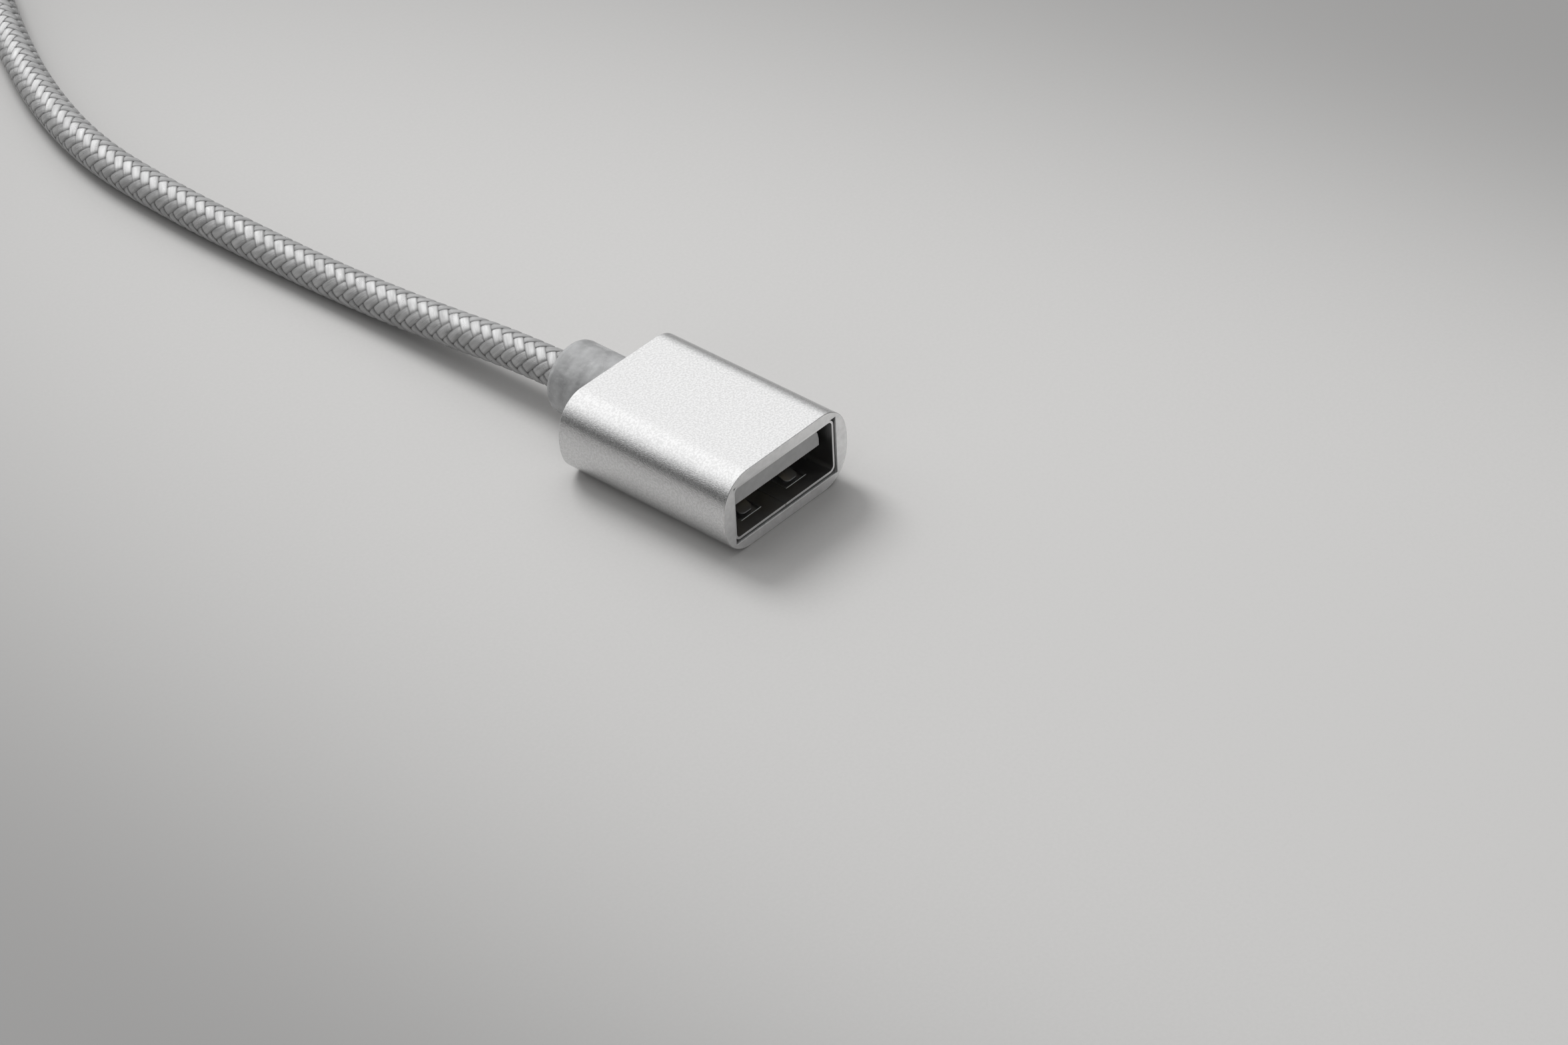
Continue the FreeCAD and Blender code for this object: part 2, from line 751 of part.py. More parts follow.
def make_plug_shell():
    """A drawn oval tube, held in the moulding and open at its tip."""
    body = new_body("plug_shell")
    section = section_sketch(body, "plug_shell_section", "plug_shell_start")
    add_oval(section, "half_plug_shell_width", "half_plug_shell_height")
    add_oval(section, "half_plug_inner_width", "half_plug_inner_height")
    pad(body, section, "plug_shell_length")
    place_node(body, "plug")


def cut_pin_slots(body, row, position):
    """The slot beside the cavity and the narrower lane behind it, for one contact."""
    beside = "half_plug_cavity_height - pin_clearance"
    slot_height = "pin_roof - half_plug_cavity_height + pin_clearance"
    slot = ("pin_slot_width", "pin_tip - cavity_start + plug_fit", slot_height)
    lane_length = "cavity_start - core_start + plug_fit + plug_fit"
    lane = ("pin_slot_width", lane_length, "pin_roof - pin_floor")
    for part, lengths, start, floor in (
        ("slot", slot, "cavity_start", beside),
        ("lane", lane, "core_start - plug_fit", "pin_floor"),
    ):
        low = floor if row == "upper" else negative("pin_roof")
        box = cut_box(body, "%s_%s_%d" % (row, part, position), lengths, ("0", start, low))
        across = "%g * sizes.pitch - sizes.half_pin_slot_width" % (position - ROW_MIDDLE)
        box.setExpression("Placement.Base.x", across)


def make_plug_insulator():
    """An oval block with the cavity, a slot for each contact, side slots and spring seats."""
    body = new_body("plug_insulator")
    section = section_sketch(body, "plug_core_section", "core_start")
    add_oval(section, "half_core_width", "half_core_height")
    pad(body, section, "core_length")
    cavity = ("plug_cavity_width", "plug_cavity_depth + plug_fit", "plug_cavity_height")
    corner = (negative("half_plug_cavity_width"), "cavity_start", negative("half_plug_cavity_height"))
    cut_box(body, "cavity", cavity, corner)
    depth = "half_plug_inner_width - half_plug_cavity_width"
    slot = (depth, "latch_end - core_start + plug_fit + plug_fit", "latch_slot_height")
    for side, across in (
        ("left", negative("half_plug_inner_width")),
        ("right", "half_plug_cavity_width"),
    ):
        corner = (across, "core_start - plug_fit", negative("half_latch_slot_height"))
        cut_box(body, side + "_latch_slot", slot, corner)
    for row, pins in (("upper", UPPER_PINS), ("lower", LOWER_PINS)):
        for position in pins:
            cut_pin_slots(body, row, position)
    around = " + plug_fit + plug_fit"
    seat = ("spring_width" + around, "spring_length" + around, "spring_thickness + plug_fit")
    for side, low in (
        ("upper", "half_core_height - spring_thickness - plug_fit"),
        ("lower", negative("half_core_height")),
    ):
        corner = (negative("half_spring_width") + " - plug_fit", "spring_start - plug_fit", low)
        cut_box(body, side + "_spring_seat", seat, corner)
    place_node(body, "plug")


def make_plug_contacts(row, pins):
    """A row of strips: tails on the board, lanes in the insulator, a bow into the cavity."""
    side = [
        ("board_end - pin_tail", "half_board_thickness"),
        ("board_end - pin_thickness", "half_board_thickness"),
        ("core_start - pin_thickness", "pin_lane"),
        ("cavity_start + pin_thickness", "pin_lane"),
        ("pin_tip - pin_bow_back", "pin_lane - pin_bow"),
        ("pin_tip", "pin_lane"),
    ]
    outline = bent_strip(side, "pin_thickness")
    if row == "lower":
        outline = [(along, negative(up)) for along, up in outline]
    sketch = doc.addObject("Sketcher::SketchObject", "plug_%s_outline" % row)
    sketch.Placement = Placement(Vector(), Rotation(Vector(1, 1, 1), 120))
    add_polygon(sketch, outline)
    strips = []
    for position in pins:
        strip = doc.addObject("Part::Extrusion", "plug_%s_%d" % (row, position))
        strip.Base = sketch
        strip.DirMode = "Normal"
        strip.Symmetric = True
        strip.Solid = True
        bind(strip, "LengthFwd", "pin_width")
        strip.setExpression("Placement.Base.x", "%g * sizes.pitch" % (position - ROW_MIDDLE))
        strips.append(strip)
    label = "plug_contacts_" + row
    compound = doc.addObject("Part::Compound", label)
    compound.Label = label
    compound.Links = strips
    place_node(compound, "plug")


def make_plug_latch(side):
    """A bent strip on edge: its tail in the moulding, its hook inside the cavity."""
    label = "plug_latch_" + side
    body = new_body(label)
    outline = new_sketch(body, label + "_outline", "XY_Plane")
    inner, hook = "latch_offset", "latch_offset - latch_hook"
    path = [
        ("latch_start", inner),
        ("latch_end - latch_hook_length - latch_hook_length", inner),
        ("latch_end - latch_hook_length", hook),
        ("latch_end", inner),
    ]
    corners = [(across, along) for along, across in bent_strip(path, "latch_thickness")]
    if side == "left":
        corners = [(negative(across), along) for across, along in corners]
    add_polygon(outline, corners)
    pad_both_ways(body, outline, "latch_height")
    place_node(body, "plug")


def make_plug_plate(label, lengths, corner):
    """A flat plate of its own, such as the board or a ground spring."""
    body = new_body(label)
    add_box(body, label + "_plate", lengths, corner)
    place_node(body, "plug")


def make_plug_plates():
    board = ("board_width", "board_length", "board_thickness")
    corner = (negative("half_board_width"), "board_start", negative("half_board_thickness"))
    make_plug_plate("plug_board", board, corner)
    resistor = ("resistor_length", "resistor_width", "resistor_height")
    along = "board_end - pin_tail - resistor_gap - resistor_width"
    corner = (negative("half_resistor_length"), along, "half_board_thickness")
    make_plug_plate("plug_resistor", resistor, corner)
    spring = ("spring_width", "spring_length", "spring_thickness")
    for side, low in (
        ("upper", "half_core_height - spring_thickness"),
        ("lower", negative("half_core_height")),
    ):
        corner = (negative("half_spring_width"), "spring_start", low)
        make_plug_plate("plug_ground_spring_" + side, spring, corner)


def make_plug_wires():
    """Four insulated wires from the cable's end to the pads on the board."""
    diameter = number("wire_diameter")
    height = number("half_board_thickness + wire_gap") + diameter / 2
    start, end = number("plug_block_end"), number("board_start + pad_length")
    pads = {"power": -1.5, "data_minus": -0.5, "data_plus": 0.5, "ground": 1.5}
    for name, (across, up) in core_places().items():
        place = pads[name] * number("pad_pitch")
        points = [
            Vector(across, start, up),
            Vector(across, start + number("wire_first_run"), up),
            Vector(place, number("board_start - wire_lead"), height),
            Vector(place, end, height),
        ]
        wire, _, _ = round_tube(points, diameter)
        feature_node("plug_wire_" + name, wire, "plug")


def make_plug_inner_mould():
    """The block cast round the shell's rear, the board and the wires."""
    doc.recompute()
    start = number("plug_block_end")
    block = moulded_block("plug", start, number("plug_fill_end") - start)
    section = doc.getObject("plug_shell_section").Shape
    outline = max(section.Wires, key=lambda wire: wire.BoundBox.DiagonalLength)
    shell_filled = Part.Face(outline).extrude(Vector(0, number("plug_shell_length"), 0))
    inside = ["plug_board", "plug_resistor", "plug_contacts_upper", "plug_contacts_lower"]
    inside += ["plug_latch_left", "plug_latch_right"]
    inside += ["plug_wire_" + name for name in CONTACTS]
    cast_round = [shell_filled] + [local_shape(name) for name in inside]
    feature_node("plug_inner_mould", block.cut(cast_round), "plug")


# Checks and files

def write_nodes():
    """Checks every object and every node's shape, then writes one file for each node."""
    doc.recompute()
    for thing in doc.Objects:
        if "Invalid" in thing.State or "Error" in thing.State:
            raise ValueError(thing.Name + " failed")
    for thing in nodes:
        shape = thing.Shape
        if shape.isNull() or not shape.isValid() or shape.Volume <= 0:
            raise ValueError(thing.Label + " has no valid solid")
    os.makedirs("parts", exist_ok=True)
    for thing in nodes:
        thing.Shape.exportStep("parts/" + thing.Label + ".step")
    print(len(nodes), "nodes")


fill_sheet()
make_sleeve("socket", "0", "half_hole_width", "half_hole_height")
make_socket_shell()
make_socket_insulator()
make_socket_contacts()
make_socket_wires()
make_socket_inner_mould()
make_strain_relief(
    "socket", "socket_block_start", "socket_sleeve_length", "socket_end_length",
    "socket_block_start",
)
make_cable()
make_strain_relief("plug", "plug_boot_length", "0", "0", "0")
make_sleeve("plug", "plug_boot_length", "half_plug_hole_width", "half_plug_hole_height")
make_plug_shell()
make_plug_insulator()
make_plug_contacts("upper", UPPER_PINS)
make_plug_contacts("lower", LOWER_PINS)
make_plug_latch("left")
make_plug_latch("right")
make_plug_plates()
make_plug_wires()
make_plug_inner_mould()
write_nodes()
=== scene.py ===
"""Looks of a short braided charging cable: a flat socket in a blasted aluminium sleeve, a soft
collar, a silver-grey braid and, at the far end, a small oval plug.

Shapes are worked out in millimetres, in the frame of their own end, and placed in metres.
"""
import math

import bmesh
import bpy
import numpy as np
from mathutils import Matrix


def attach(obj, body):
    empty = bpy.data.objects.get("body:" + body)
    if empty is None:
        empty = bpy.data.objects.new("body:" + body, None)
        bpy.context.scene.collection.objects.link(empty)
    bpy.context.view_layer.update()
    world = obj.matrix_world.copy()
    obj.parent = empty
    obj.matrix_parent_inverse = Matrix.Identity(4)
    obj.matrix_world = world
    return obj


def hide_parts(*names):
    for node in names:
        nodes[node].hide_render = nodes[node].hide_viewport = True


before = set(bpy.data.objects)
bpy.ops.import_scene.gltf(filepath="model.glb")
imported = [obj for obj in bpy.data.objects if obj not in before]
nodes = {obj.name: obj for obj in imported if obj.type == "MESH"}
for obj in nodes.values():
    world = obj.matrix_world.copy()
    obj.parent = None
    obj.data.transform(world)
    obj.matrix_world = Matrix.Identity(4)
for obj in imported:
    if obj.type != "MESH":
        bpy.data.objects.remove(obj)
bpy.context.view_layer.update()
MM = 0.001

# The plug lies at an angle to the socket. Its axis passes through a point of the route, and runs on
# from there in a straight line
PLUG_TURN = math.radians(6.0)
PLUG_ENTRY = (21.0, 123.1, 3.3)


def on_plug_axis(distance):
    """The place that lies that far past the plug's entry point, along the plug's axis."""
    across, along, height = PLUG_ENTRY
    return (
        across + distance * math.sin(PLUG_TURN), along + distance * math.cos(PLUG_TURN), height
    )


# Frames of the two ends: heading, and the place of the end's own origin
ENDS = {"socket": (0.0, (0.0, -12.6, 4.0)), "plug": (PLUG_TURN, on_plug_axis(4.6))}

# Route of the cable, from inside the socket's mould to inside the plug's
ROUTE = [
    (0.0, 4.2, 4.0), (0.0, 16.6, 4.0), (-0.30, 30.0, 2.5), (-0.55, 41.5, 1.82),
    (-0.75, 53.0, 1.82), (-0.62, 64.5, 1.82), (0.35, 76.5, 1.82), (4.3, 88.5, 1.82),
    (10.4, 100.3, 1.82), (17.0, 110.8, 1.82), PLUG_ENTRY, on_plug_axis(12.6),
]

# Braid: eight strands each way round a core, two over and two under
LAY = 10.6
STRANDS = 8
BRAID_RADIUS = 1.54
BRAID_WAVE = 0.125
STRAND_WIDTH = 1.0
STRAND_THICKNESS = 0.25
STRAND_CROWN = 0.18
SECTION_POWER = 0.8
WAVE_SOFTNESS = 0.06
SAMPLES_PER_LAY = 72
CORE_RADIUS = 1.3

# Sleeves, in the order that bowed_outline takes: width, height, corner and side radius, hole
SOCKET_SLEEVE = (16.0, 8.0, 3.1, 6.3, 13.15, 5.92)
SOCKET_SLEEVE_LENGTH = 19.2
PLUG_SLEEVE = (11.8, 6.6, 2.4, 5.0, 9.35, 4.6)
PLUG_SLEEVE_ENDS = (5.0, 24.0)
SLEEVE_EASE, HOLE_EASE = 0.06, 0.04

# Flat faces keep their shading up to this far from a rounded edge
TUBE_HOLD = 0.03
RUN_HOLD = 0.07

# Edges sharper than this stay sharp in shading, in degrees
SHARP_OWN, SHARP_COPY = 40, 35

# The folded shell's cut rim lies before this Y
RIM_Y = -12.38

# Window lips: radius, distance behind the mouth, height, middles across and half length
LIP_RADIUS, LIP_DEPTH, LIP_HEIGHT = 0.05, 1.61, -2.57
LIP_MIDDLES, LIP_HALF_LENGTH = (-2.92, 2.92), 1.27
LIP_STEPS = 9


# Meshes

def placed(points, end):
    """Points turned by the end's heading about Z, moved to its origin, and taken to metres."""
    heading, origin = ENDS[end]
    across, along = points[..., 0], points[..., 1]
    turned = np.stack(
        [
            across * math.cos(heading) + along * math.sin(heading),
            along * math.cos(heading) - across * math.sin(heading),
            points[..., 2],
        ],
        -1,
    )
    return (turned + np.array(origin)) * MM


def grid_quads(rows, columns, loop_rows=False):
    """Quads between neighbouring points of a grid whose columns close into a ring."""
    row = np.arange(rows if loop_rows else rows - 1)[:, None]
    column = np.arange(columns)[None, :]
    next_row, next_column = (row + 1) % rows, (column + 1) % columns
    corners = [
        row * columns + column,
        row * columns + next_column,
        next_row * columns + next_column,
        next_row * columns + column,
    ]
    return np.stack(np.broadcast_arrays(*corners), -1).reshape(-1, 4)


def enclosed_volume(points, quads):
    """Sum of a . (b x c) / 6 over both triangles of each quad, positive where faces point out."""
    corner = points[quads]
    total = 0.0
    for first, second in ((1, 2), (2, 3)):
        crossed = np.cross(corner[:, first], corner[:, second])
        total += np.einsum("ij,ij->", corner[:, 0], crossed) / 6
    return total


def mesh_object(name, points, quads, caps=(), uv=None, materials=(), face_material=None):
    """A smooth mesh from quads and flat caps, turned so that its faces point outwards."""
    quads = np.asarray(quads)
    caps = [np.asarray(cap) for cap in caps]
    if enclosed_volume(points, quads) < 0:
        quads = quads[:, ::-1]
        caps = [cap[::-1] for cap in caps]
    sizes = np.array([4] * len(quads) + [len(cap) for cap in caps])
    loops = np.concatenate([quads.reshape(-1)] + caps)
    mesh = bpy.data.meshes.new(name)
    mesh.vertices.add(len(points))
    mesh.vertices.foreach_set("co", np.ascontiguousarray(points, np.float32).reshape(-1))
    mesh.loops.add(len(loops))
    mesh.loops.foreach_set("vertex_index", loops.astype(np.int32))
    mesh.polygons.add(len(sizes))
    starts = np.concatenate([[0], np.cumsum(sizes)[:-1]])
    mesh.polygons.foreach_set("loop_start", starts.astype(np.int32))
    if face_material is not None:
        kinds = np.concatenate([face_material, np.zeros(len(caps))])
        mesh.polygons.foreach_set("material_index", kinds.astype(np.int32))
    mesh.update(calc_edges=True)
    mesh.validate()
    if uv is not None:
        layer = mesh.uv_layers.new(name="UVMap")
        layer.data.foreach_set("uv", uv[loops].astype(np.float32).reshape(-1))
    mesh.shade_smooth()
    mesh.set_sharp_from_angle(angle=math.radians(SHARP_OWN))
    piece = bpy.data.objects.new(name, mesh)
    bpy.context.scene.collection.objects.link(piece)
    for material in materials:
        mesh.materials.append(material)
    return piece


def eased_copy(node, name, width, materials, rim=None):
    """A merged copy of a CAD node's mesh with flat faces joined and its edges rounded.

    The second material goes on the faces whose middle lies before the rim's Y, in millimetres.
    """
    mesh = nodes[node].data.copy()
    mesh.name = name
    work = bmesh.new()
    work.from_mesh(mesh)
    bmesh.ops.remove_doubles(work, verts=work.verts, dist=2e-6)
    bmesh.ops.dissolve_limit(
        work, angle_limit=math.radians(0.8), verts=work.verts, edges=work.edges
    )
    work.to_mesh(mesh)
    work.free()
    mesh.materials.clear()
    for material in materials:
        mesh.materials.append(material)
    mesh.shade_smooth()
    mesh.set_sharp_from_angle(angle=math.radians(SHARP_COPY))
    kinds = np.zeros(len(mesh.polygons), np.int32)
    if rim is not None:
        middles = np.empty(len(mesh.polygons) * 3, np.float32)
        mesh.polygons.foreach_get("center", middles)
        kinds[middles.reshape(-1, 3)[:, 1] < rim * MM] = 1
    mesh.polygons.foreach_set("material_index", kinds)
    piece = bpy.data.objects.new(name, mesh)
    bpy.context.scene.collection.objects.link(piece)
    ease = piece.modifiers.new("eased_edges", "BEVEL")
    ease.width = width * MM
    ease.segments = 2
    ease.limit_method = "ANGLE"
    ease.angle_limit = math.radians(SHARP_COPY)
    ease.harden_normals = True
    ease.use_clamp_overlap = True
    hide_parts(node)
    return piece


def ride(piece):
    """The piece rides on the one body."""
    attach(piece, "root")
    return piece


# Outlines, each as points and outward directions

def quarter_to_loop(points, outward):
    """A first quadrant, from the right to the top, mirrored into a whole closed loop."""
    flips = [(1, 1), (-1, 1), (-1, -1), (1, -1)]
    loop, directions = [], []
    for index, flip in enumerate(flips):
        quarter, way = points * flip, outward * flip
        if index % 2:
            quarter, way = quarter[::-1], way[::-1]
        loop.append(quarter[:-1])
        directions.append(way[:-1])
    return np.concatenate(loop), np.concatenate(directions)


def bowed_outline(width, height, corner, side, hole_width, hole_height):
    """The sleeve's outer loop and its hole's loop, with as many points.

    Outer quadrant: an arc of radius side about a point on the level axis, an arc of radius corner
    that meets it and the flat top, and the flat top. The hole's points share out its upright side
    and its top, so that its corner meets the middle of the corner arc.
    """
    up = height / 2 - corner
    side_across = width / 2 - side
    across = side_across + math.sqrt((side - corner) ** 2 - up**2)
    turn = math.atan2(up, across - side_across)
    side_angles = np.linspace(0, turn, 9)[:-1]
    corner_angles = np.linspace(turn, math.pi / 2, 25)
    flat = np.linspace(across, 0, 7)[1:]
    side_arc = np.stack([side_across + side * np.cos(side_angles), side * np.sin(side_angles)], -1)
    corner_arc = np.stack(
        [across + corner * np.cos(corner_angles), up + corner * np.sin(corner_angles)], -1
    )
    top = np.stack([flat, np.full(6, height / 2)], -1)
    angles = np.concatenate([side_angles, corner_angles])
    outward = np.concatenate(
        [np.stack([np.cos(angles), np.sin(angles)], -1), np.tile([0.0, 1.0], (6, 1))]
    )
    outer = quarter_to_loop(np.concatenate([side_arc, corner_arc, top]), outward)
    upright, level = 18, 20
    climb = np.linspace(0, hole_height / 2, upright + 1)
    cross = np.linspace(hole_width / 2, 0, level + 1)[1:]
    right = np.stack([np.full(upright + 1, hole_width / 2), climb], -1)
    ceiling = np.stack([cross, np.full(level, hole_height / 2)], -1)
    ways = np.concatenate(
        [np.tile([1.0, 0.0], (upright, 1)), [[1.0, 1.0]], np.tile([0.0, 1.0], (level, 1))]
    )
    hole = quarter_to_loop(np.concatenate([right, ceiling]), ways)
    return outer, hole


def oval_outline(width, height, steps=24):
    """A half circle at each end joined by straight lines: one quadrant, mirrored."""
    radius = height / 2
    angles = np.linspace(0, math.pi / 2, steps + 1)
    arc = np.stack([width / 2 - radius + radius * np.cos(angles), radius * np.sin(angles)], -1)
    flat = np.linspace(width / 2 - radius, 0, 5)[1:]
    top = np.stack([flat, np.full(4, radius)], -1)
    outward = np.concatenate(
        [np.stack([np.cos(angles), np.sin(angles)], -1), np.tile([0.0, 1.0], (4, 1))]
    )
    return quarter_to_loop(np.concatenate([arc, top]), outward)


def round_outline(radius, steps=96):
    """A circle of evenly spaced points."""
    angles = np.arange(steps) * 2 * math.pi / steps
    outward = np.stack([np.cos(angles), np.sin(angles)], -1)
    return outward * radius, outward


def box_outline(width, height, corner, steps=6):
    """A rectangle with round corners: one quadrant, mirrored."""
    angles = np.linspace(0, math.pi / 2, steps + 1)
    ways = np.stack([np.cos(angles), np.sin(angles)], -1)
    arc = np.array([width / 2 - corner, height / 2 - corner]) + corner * ways
    points = np.concatenate([[[width / 2, 0.0]], arc, [[0.0, height / 2]]])
    outward = np.concatenate([[[1.0, 0.0]], ways, [[0.0, 1.0]]])
    return quarter_to_loop(points, outward)


# Solids along an end's own axis

def eased_run(loop, outward, start, end, start_ease, end_ease, hold=RUN_HOLD, steps=5):
    """Rings of a loop from one flat end to the other, over a quarter round at each end.

    At the angle a the ring is drawn in by ease (1 - sin a) and lies ease (1 - cos a) behind the
    flat end; a ring a little way off on both sides keeps the flat faces flat in shading.
    """
    angles = np.linspace(0, math.pi / 2, steps)
    insets, places = [], []
    for place, ease, sign in ((start, start_ease, 1), (end, end_ease, -1)):
        inset = np.concatenate([[ease + hold], ease * (1 - np.sin(angles)), [0.0]])
        behind = np.concatenate([[0.0], ease * (1 - np.cos(angles)), [ease + hold]])
        if sign < 0:
            inset, behind = inset[::-1], behind[::-1]
        insets.append(inset)
        places.append(place + sign * behind)
    inset, place = np.concatenate(insets), np.concatenate(places)
    flat = loop[None] - inset[:, None, None] * outward[None]
    along = np.broadcast_to(place[:, None, None], flat.shape[:2] + (1,))
    return np.concatenate([flat[..., :1], along, flat[..., 1:]], -1)


def walled_tube(name, end, outer, inner, start, finish, ease, inner_ease, materials):
    """A tube with a wall: rings along its outside, and back along its inside, closed on itself.

    The second material goes on the two flat ends and on the inside.
    """
    outside = eased_run(*outer, start, finish, ease, ease, TUBE_HOLD)
    inside = eased_run(inner[0], -inner[1], start, finish, inner_ease, inner_ease, TUBE_HOLD)
    rings = np.concatenate([outside, inside[::-1]])
    rows, columns = rings.shape[:2]
    kinds = np.ones((rows, columns), int)
    kinds[1:len(outside) - 2] = 0
    return mesh_object(
        name, placed(rings, end).reshape(-1, 3), grid_quads(rows, columns, True),
        materials=materials, face_material=kinds.reshape(-1) if len(materials) > 1 else None,
    )


def capped_run(end, outline, start, finish, start_ease, end_ease):
    """A solid along the end's axis: its placed points, its quads and its two flat caps."""
    rings = eased_run(*outline, start, finish, start_ease, end_ease)
    rows, columns = rings.shape[:2]
    caps = [np.arange(columns)[::-1], (rows - 1) * columns + np.arange(columns)]
    return placed(rings, end).reshape(-1, 3), grid_quads(rows, columns), caps


def joined_runs(name, runs, materials):
    """Several closed solids in one mesh, the numbers of each shifted past those before it."""
    points, quads, caps, shift = [], [], [], 0
    for run_points, run_quads, run_caps in runs:
        points.append(run_points)
        quads.append(run_quads + shift)
        caps += [cap + shift for cap in run_caps]
        shift += len(run_points)
    return mesh_object(
        name, np.concatenate(points), np.concatenate(quads), caps, materials=materials
    )


# Shader nodes

def add_node(tree, kind, settings=None, **inputs):
    """A node with its settings, and its inputs given as values or as sockets to link."""
    node = tree.nodes.new(kind)
    for name, value in (settings or {}).items():
        setattr(node, name, value)
    for name, value in inputs.items():
        socket = node.inputs[int(name[1:])] if name[0] == "i" and name[1:].isdigit() else (
            node.inputs[name.replace("_", " ")]
        )
        if isinstance(value, bpy.types.NodeSocket):
            tree.links.new(value, socket)
        else:
            socket.default_value = value
    return node


def new_group(name, inputs, outputs):
    """An empty shader group with named inputs, each with its kind and value, and outputs."""
    group = bpy.data.node_groups.new(name, "ShaderNodeTree")
    for label, kind, value in inputs:
        socket = group.interface.new_socket(label, in_out="INPUT", socket_type="NodeSocket" + kind)
        if value is not None:
            socket.default_value = value
    for label, kind in outputs:
        group.interface.new_socket(label, in_out="OUTPUT", socket_type="NodeSocket" + kind)
    return group, group.nodes.new("NodeGroupInput"), group.nodes.new("NodeGroupOutput")


def stretched(tree, vector, stretch):
    """A vector scaled along each axis."""
    return add_node(
        tree, "ShaderNodeVectorMath", {"operation": "MULTIPLY"}, i0=vector, i1=stretch
    ).outputs[0]


def make_grain_group():
    """Blasted grain: two noises of different fineness, as a height."""
    group, given, result = new_group(
        "blasted_grain",
        [("Vector", "Vector", None), ("Size", "Float", 9000.0), ("Stretch", "Vector", (1, 1, 1))],
        [("Height", "Float")],
    )
    place = stretched(group, given.outputs["Vector"], given.outputs["Stretch"])
    coarse = add_node(
        group, "ShaderNodeTexNoise", Vector=place, Scale=given.outputs["Size"], Detail=2.0,
        Roughness=0.6,
    )
    finer = add_node(
        group, "ShaderNodeMath", {"operation": "MULTIPLY"}, i0=given.outputs["Size"], i1=2.7
    )
    fine = add_node(
        group, "ShaderNodeTexNoise", Vector=place, Scale=finer.outputs[0], Detail=1.0,
        Roughness=0.5,
    )
    height = add_node(
        group, "ShaderNodeMath", {"operation": "MULTIPLY_ADD"}, i0=fine.outputs[0], i1=0.35,
        i2=coarse.outputs[0],
    )
    group.links.new(height.outputs[0], result.inputs["Height"])
    return group


def make_mottle_group():
    """Soft uneven patches: one noise spread between a low and a high value."""
    group, given, result = new_group(
        "soft_patches",
        [("Vector", "Vector", None), ("Size", "Float", 400.0), ("Low", "Float", 0.3),
         ("High", "Float", 0.5)],
        [("Value", "Float")],
    )
    noise = add_node(
        group, "ShaderNodeTexNoise", Vector=given.outputs["Vector"], Scale=given.outputs["Size"],
        Detail=3.0, Roughness=0.55,
    )
    spread = add_node(
        group, "ShaderNodeMapRange", Value=noise.outputs[0], From_Min=0.32, From_Max=0.68,
        To_Min=given.outputs["Low"], To_Max=given.outputs["High"],
    )
    group.links.new(spread.outputs[0], result.inputs["Value"])
    return group


def make_scuff_group():
    """Fine scratches: a noise drawn out along one axis, kept only at its crests and in patches."""
    group, given, result = new_group(
        "fine_scuffs",
        [("Vector", "Vector", None), ("Size", "Float", 900.0), ("Stretch", "Vector", (1, 12, 1))],
        [("Mask", "Float")],
    )
    drawn = stretched(group, given.outputs["Vector"], given.outputs["Stretch"])
    lines = add_node(
        group, "ShaderNodeTexNoise", Vector=drawn, Scale=given.outputs["Size"], Detail=2.0
    )
    crest = add_node(
        group, "ShaderNodeMapRange", Value=lines.outputs[0], From_Min=0.66, From_Max=0.74,
        To_Min=0.0, To_Max=1.0,
    )
    patches = add_node(
        group, "ShaderNodeTexNoise", Vector=given.outputs["Vector"], Scale=given.outputs["Size"],
        Detail=1.0,
    )
    kept = add_node(
        group, "ShaderNodeMapRange", Value=patches.outputs[0], From_Min=0.5, From_Max=0.62,
        To_Min=0.0, To_Max=1.0,
    )
    both = add_node(
        group, "ShaderNodeMath", {"operation": "MULTIPLY"}, i0=crest.outputs[0], i1=kept.outputs[0]
    )
    group.links.new(both.outputs[0], result.inputs["Mask"])
    return group


GRAIN, MOTTLE, SCUFFS = make_grain_group(), make_mottle_group(), make_scuff_group()


class Finish:
    """One material: its tree, its shader and the coordinates that its patterns read."""

    def __init__(self, name, **fixed):
        self.material = bpy.data.materials.new(name)
        self.material.use_nodes = True
        self.tree = self.material.node_tree
        self.shader = self.tree.nodes["Principled BSDF"]
        for label, value in fixed.items():
            self.shader.inputs[label.replace("_", " ")].default_value = value
        coordinates = self.tree.nodes.new("ShaderNodeTexCoord")
        self.place, self.uv = coordinates.outputs["Object"], coordinates.outputs["UV"]

    def group(self, group, **inputs):
        """A pattern group that reads the object's own place unless told otherwise."""
        node = self.tree.nodes.new("ShaderNodeGroup")
        node.node_tree = group
        inputs.setdefault("Vector", self.place)
        for label, value in inputs.items():
            if isinstance(value, bpy.types.NodeSocket):
                self.tree.links.new(value, node.inputs[label])
            else:
                node.inputs[label].default_value = value
        return node

    def blend(self, mask, low, high):
        """One colour where the mask is nought and another where it is one."""
        ramp = self.tree.nodes.new("ShaderNodeMix")
        ramp.data_type = "RGBA"
        self.tree.links.new(mask, ramp.inputs["Factor"])
        for socket, value in ((ramp.inputs[6], low), (ramp.inputs[7], high)):
            if isinstance(value, bpy.types.NodeSocket):
                self.tree.links.new(value, socket)
            else:
                socket.default_value = value + (1.0,)
        return ramp.outputs[2]

    def bump(self, height, strength, distance, below=None):
        """A normal bent by a height, over another bent normal where one is given."""
        node = add_node(
            self.tree, "ShaderNodeBump", Height=height, Strength=strength, Distance=distance
        )
        if below is not None:
            self.tree.links.new(below, node.inputs["Normal"])
        return node.outputs[0]

    def feed(self, **sockets):
        """Link sockets to the shader's inputs and return the finished material."""
        for label, socket in sockets.items():
            self.tree.links.new(socket, self.shader.inputs[label.replace("_", " ")])
        return self.material


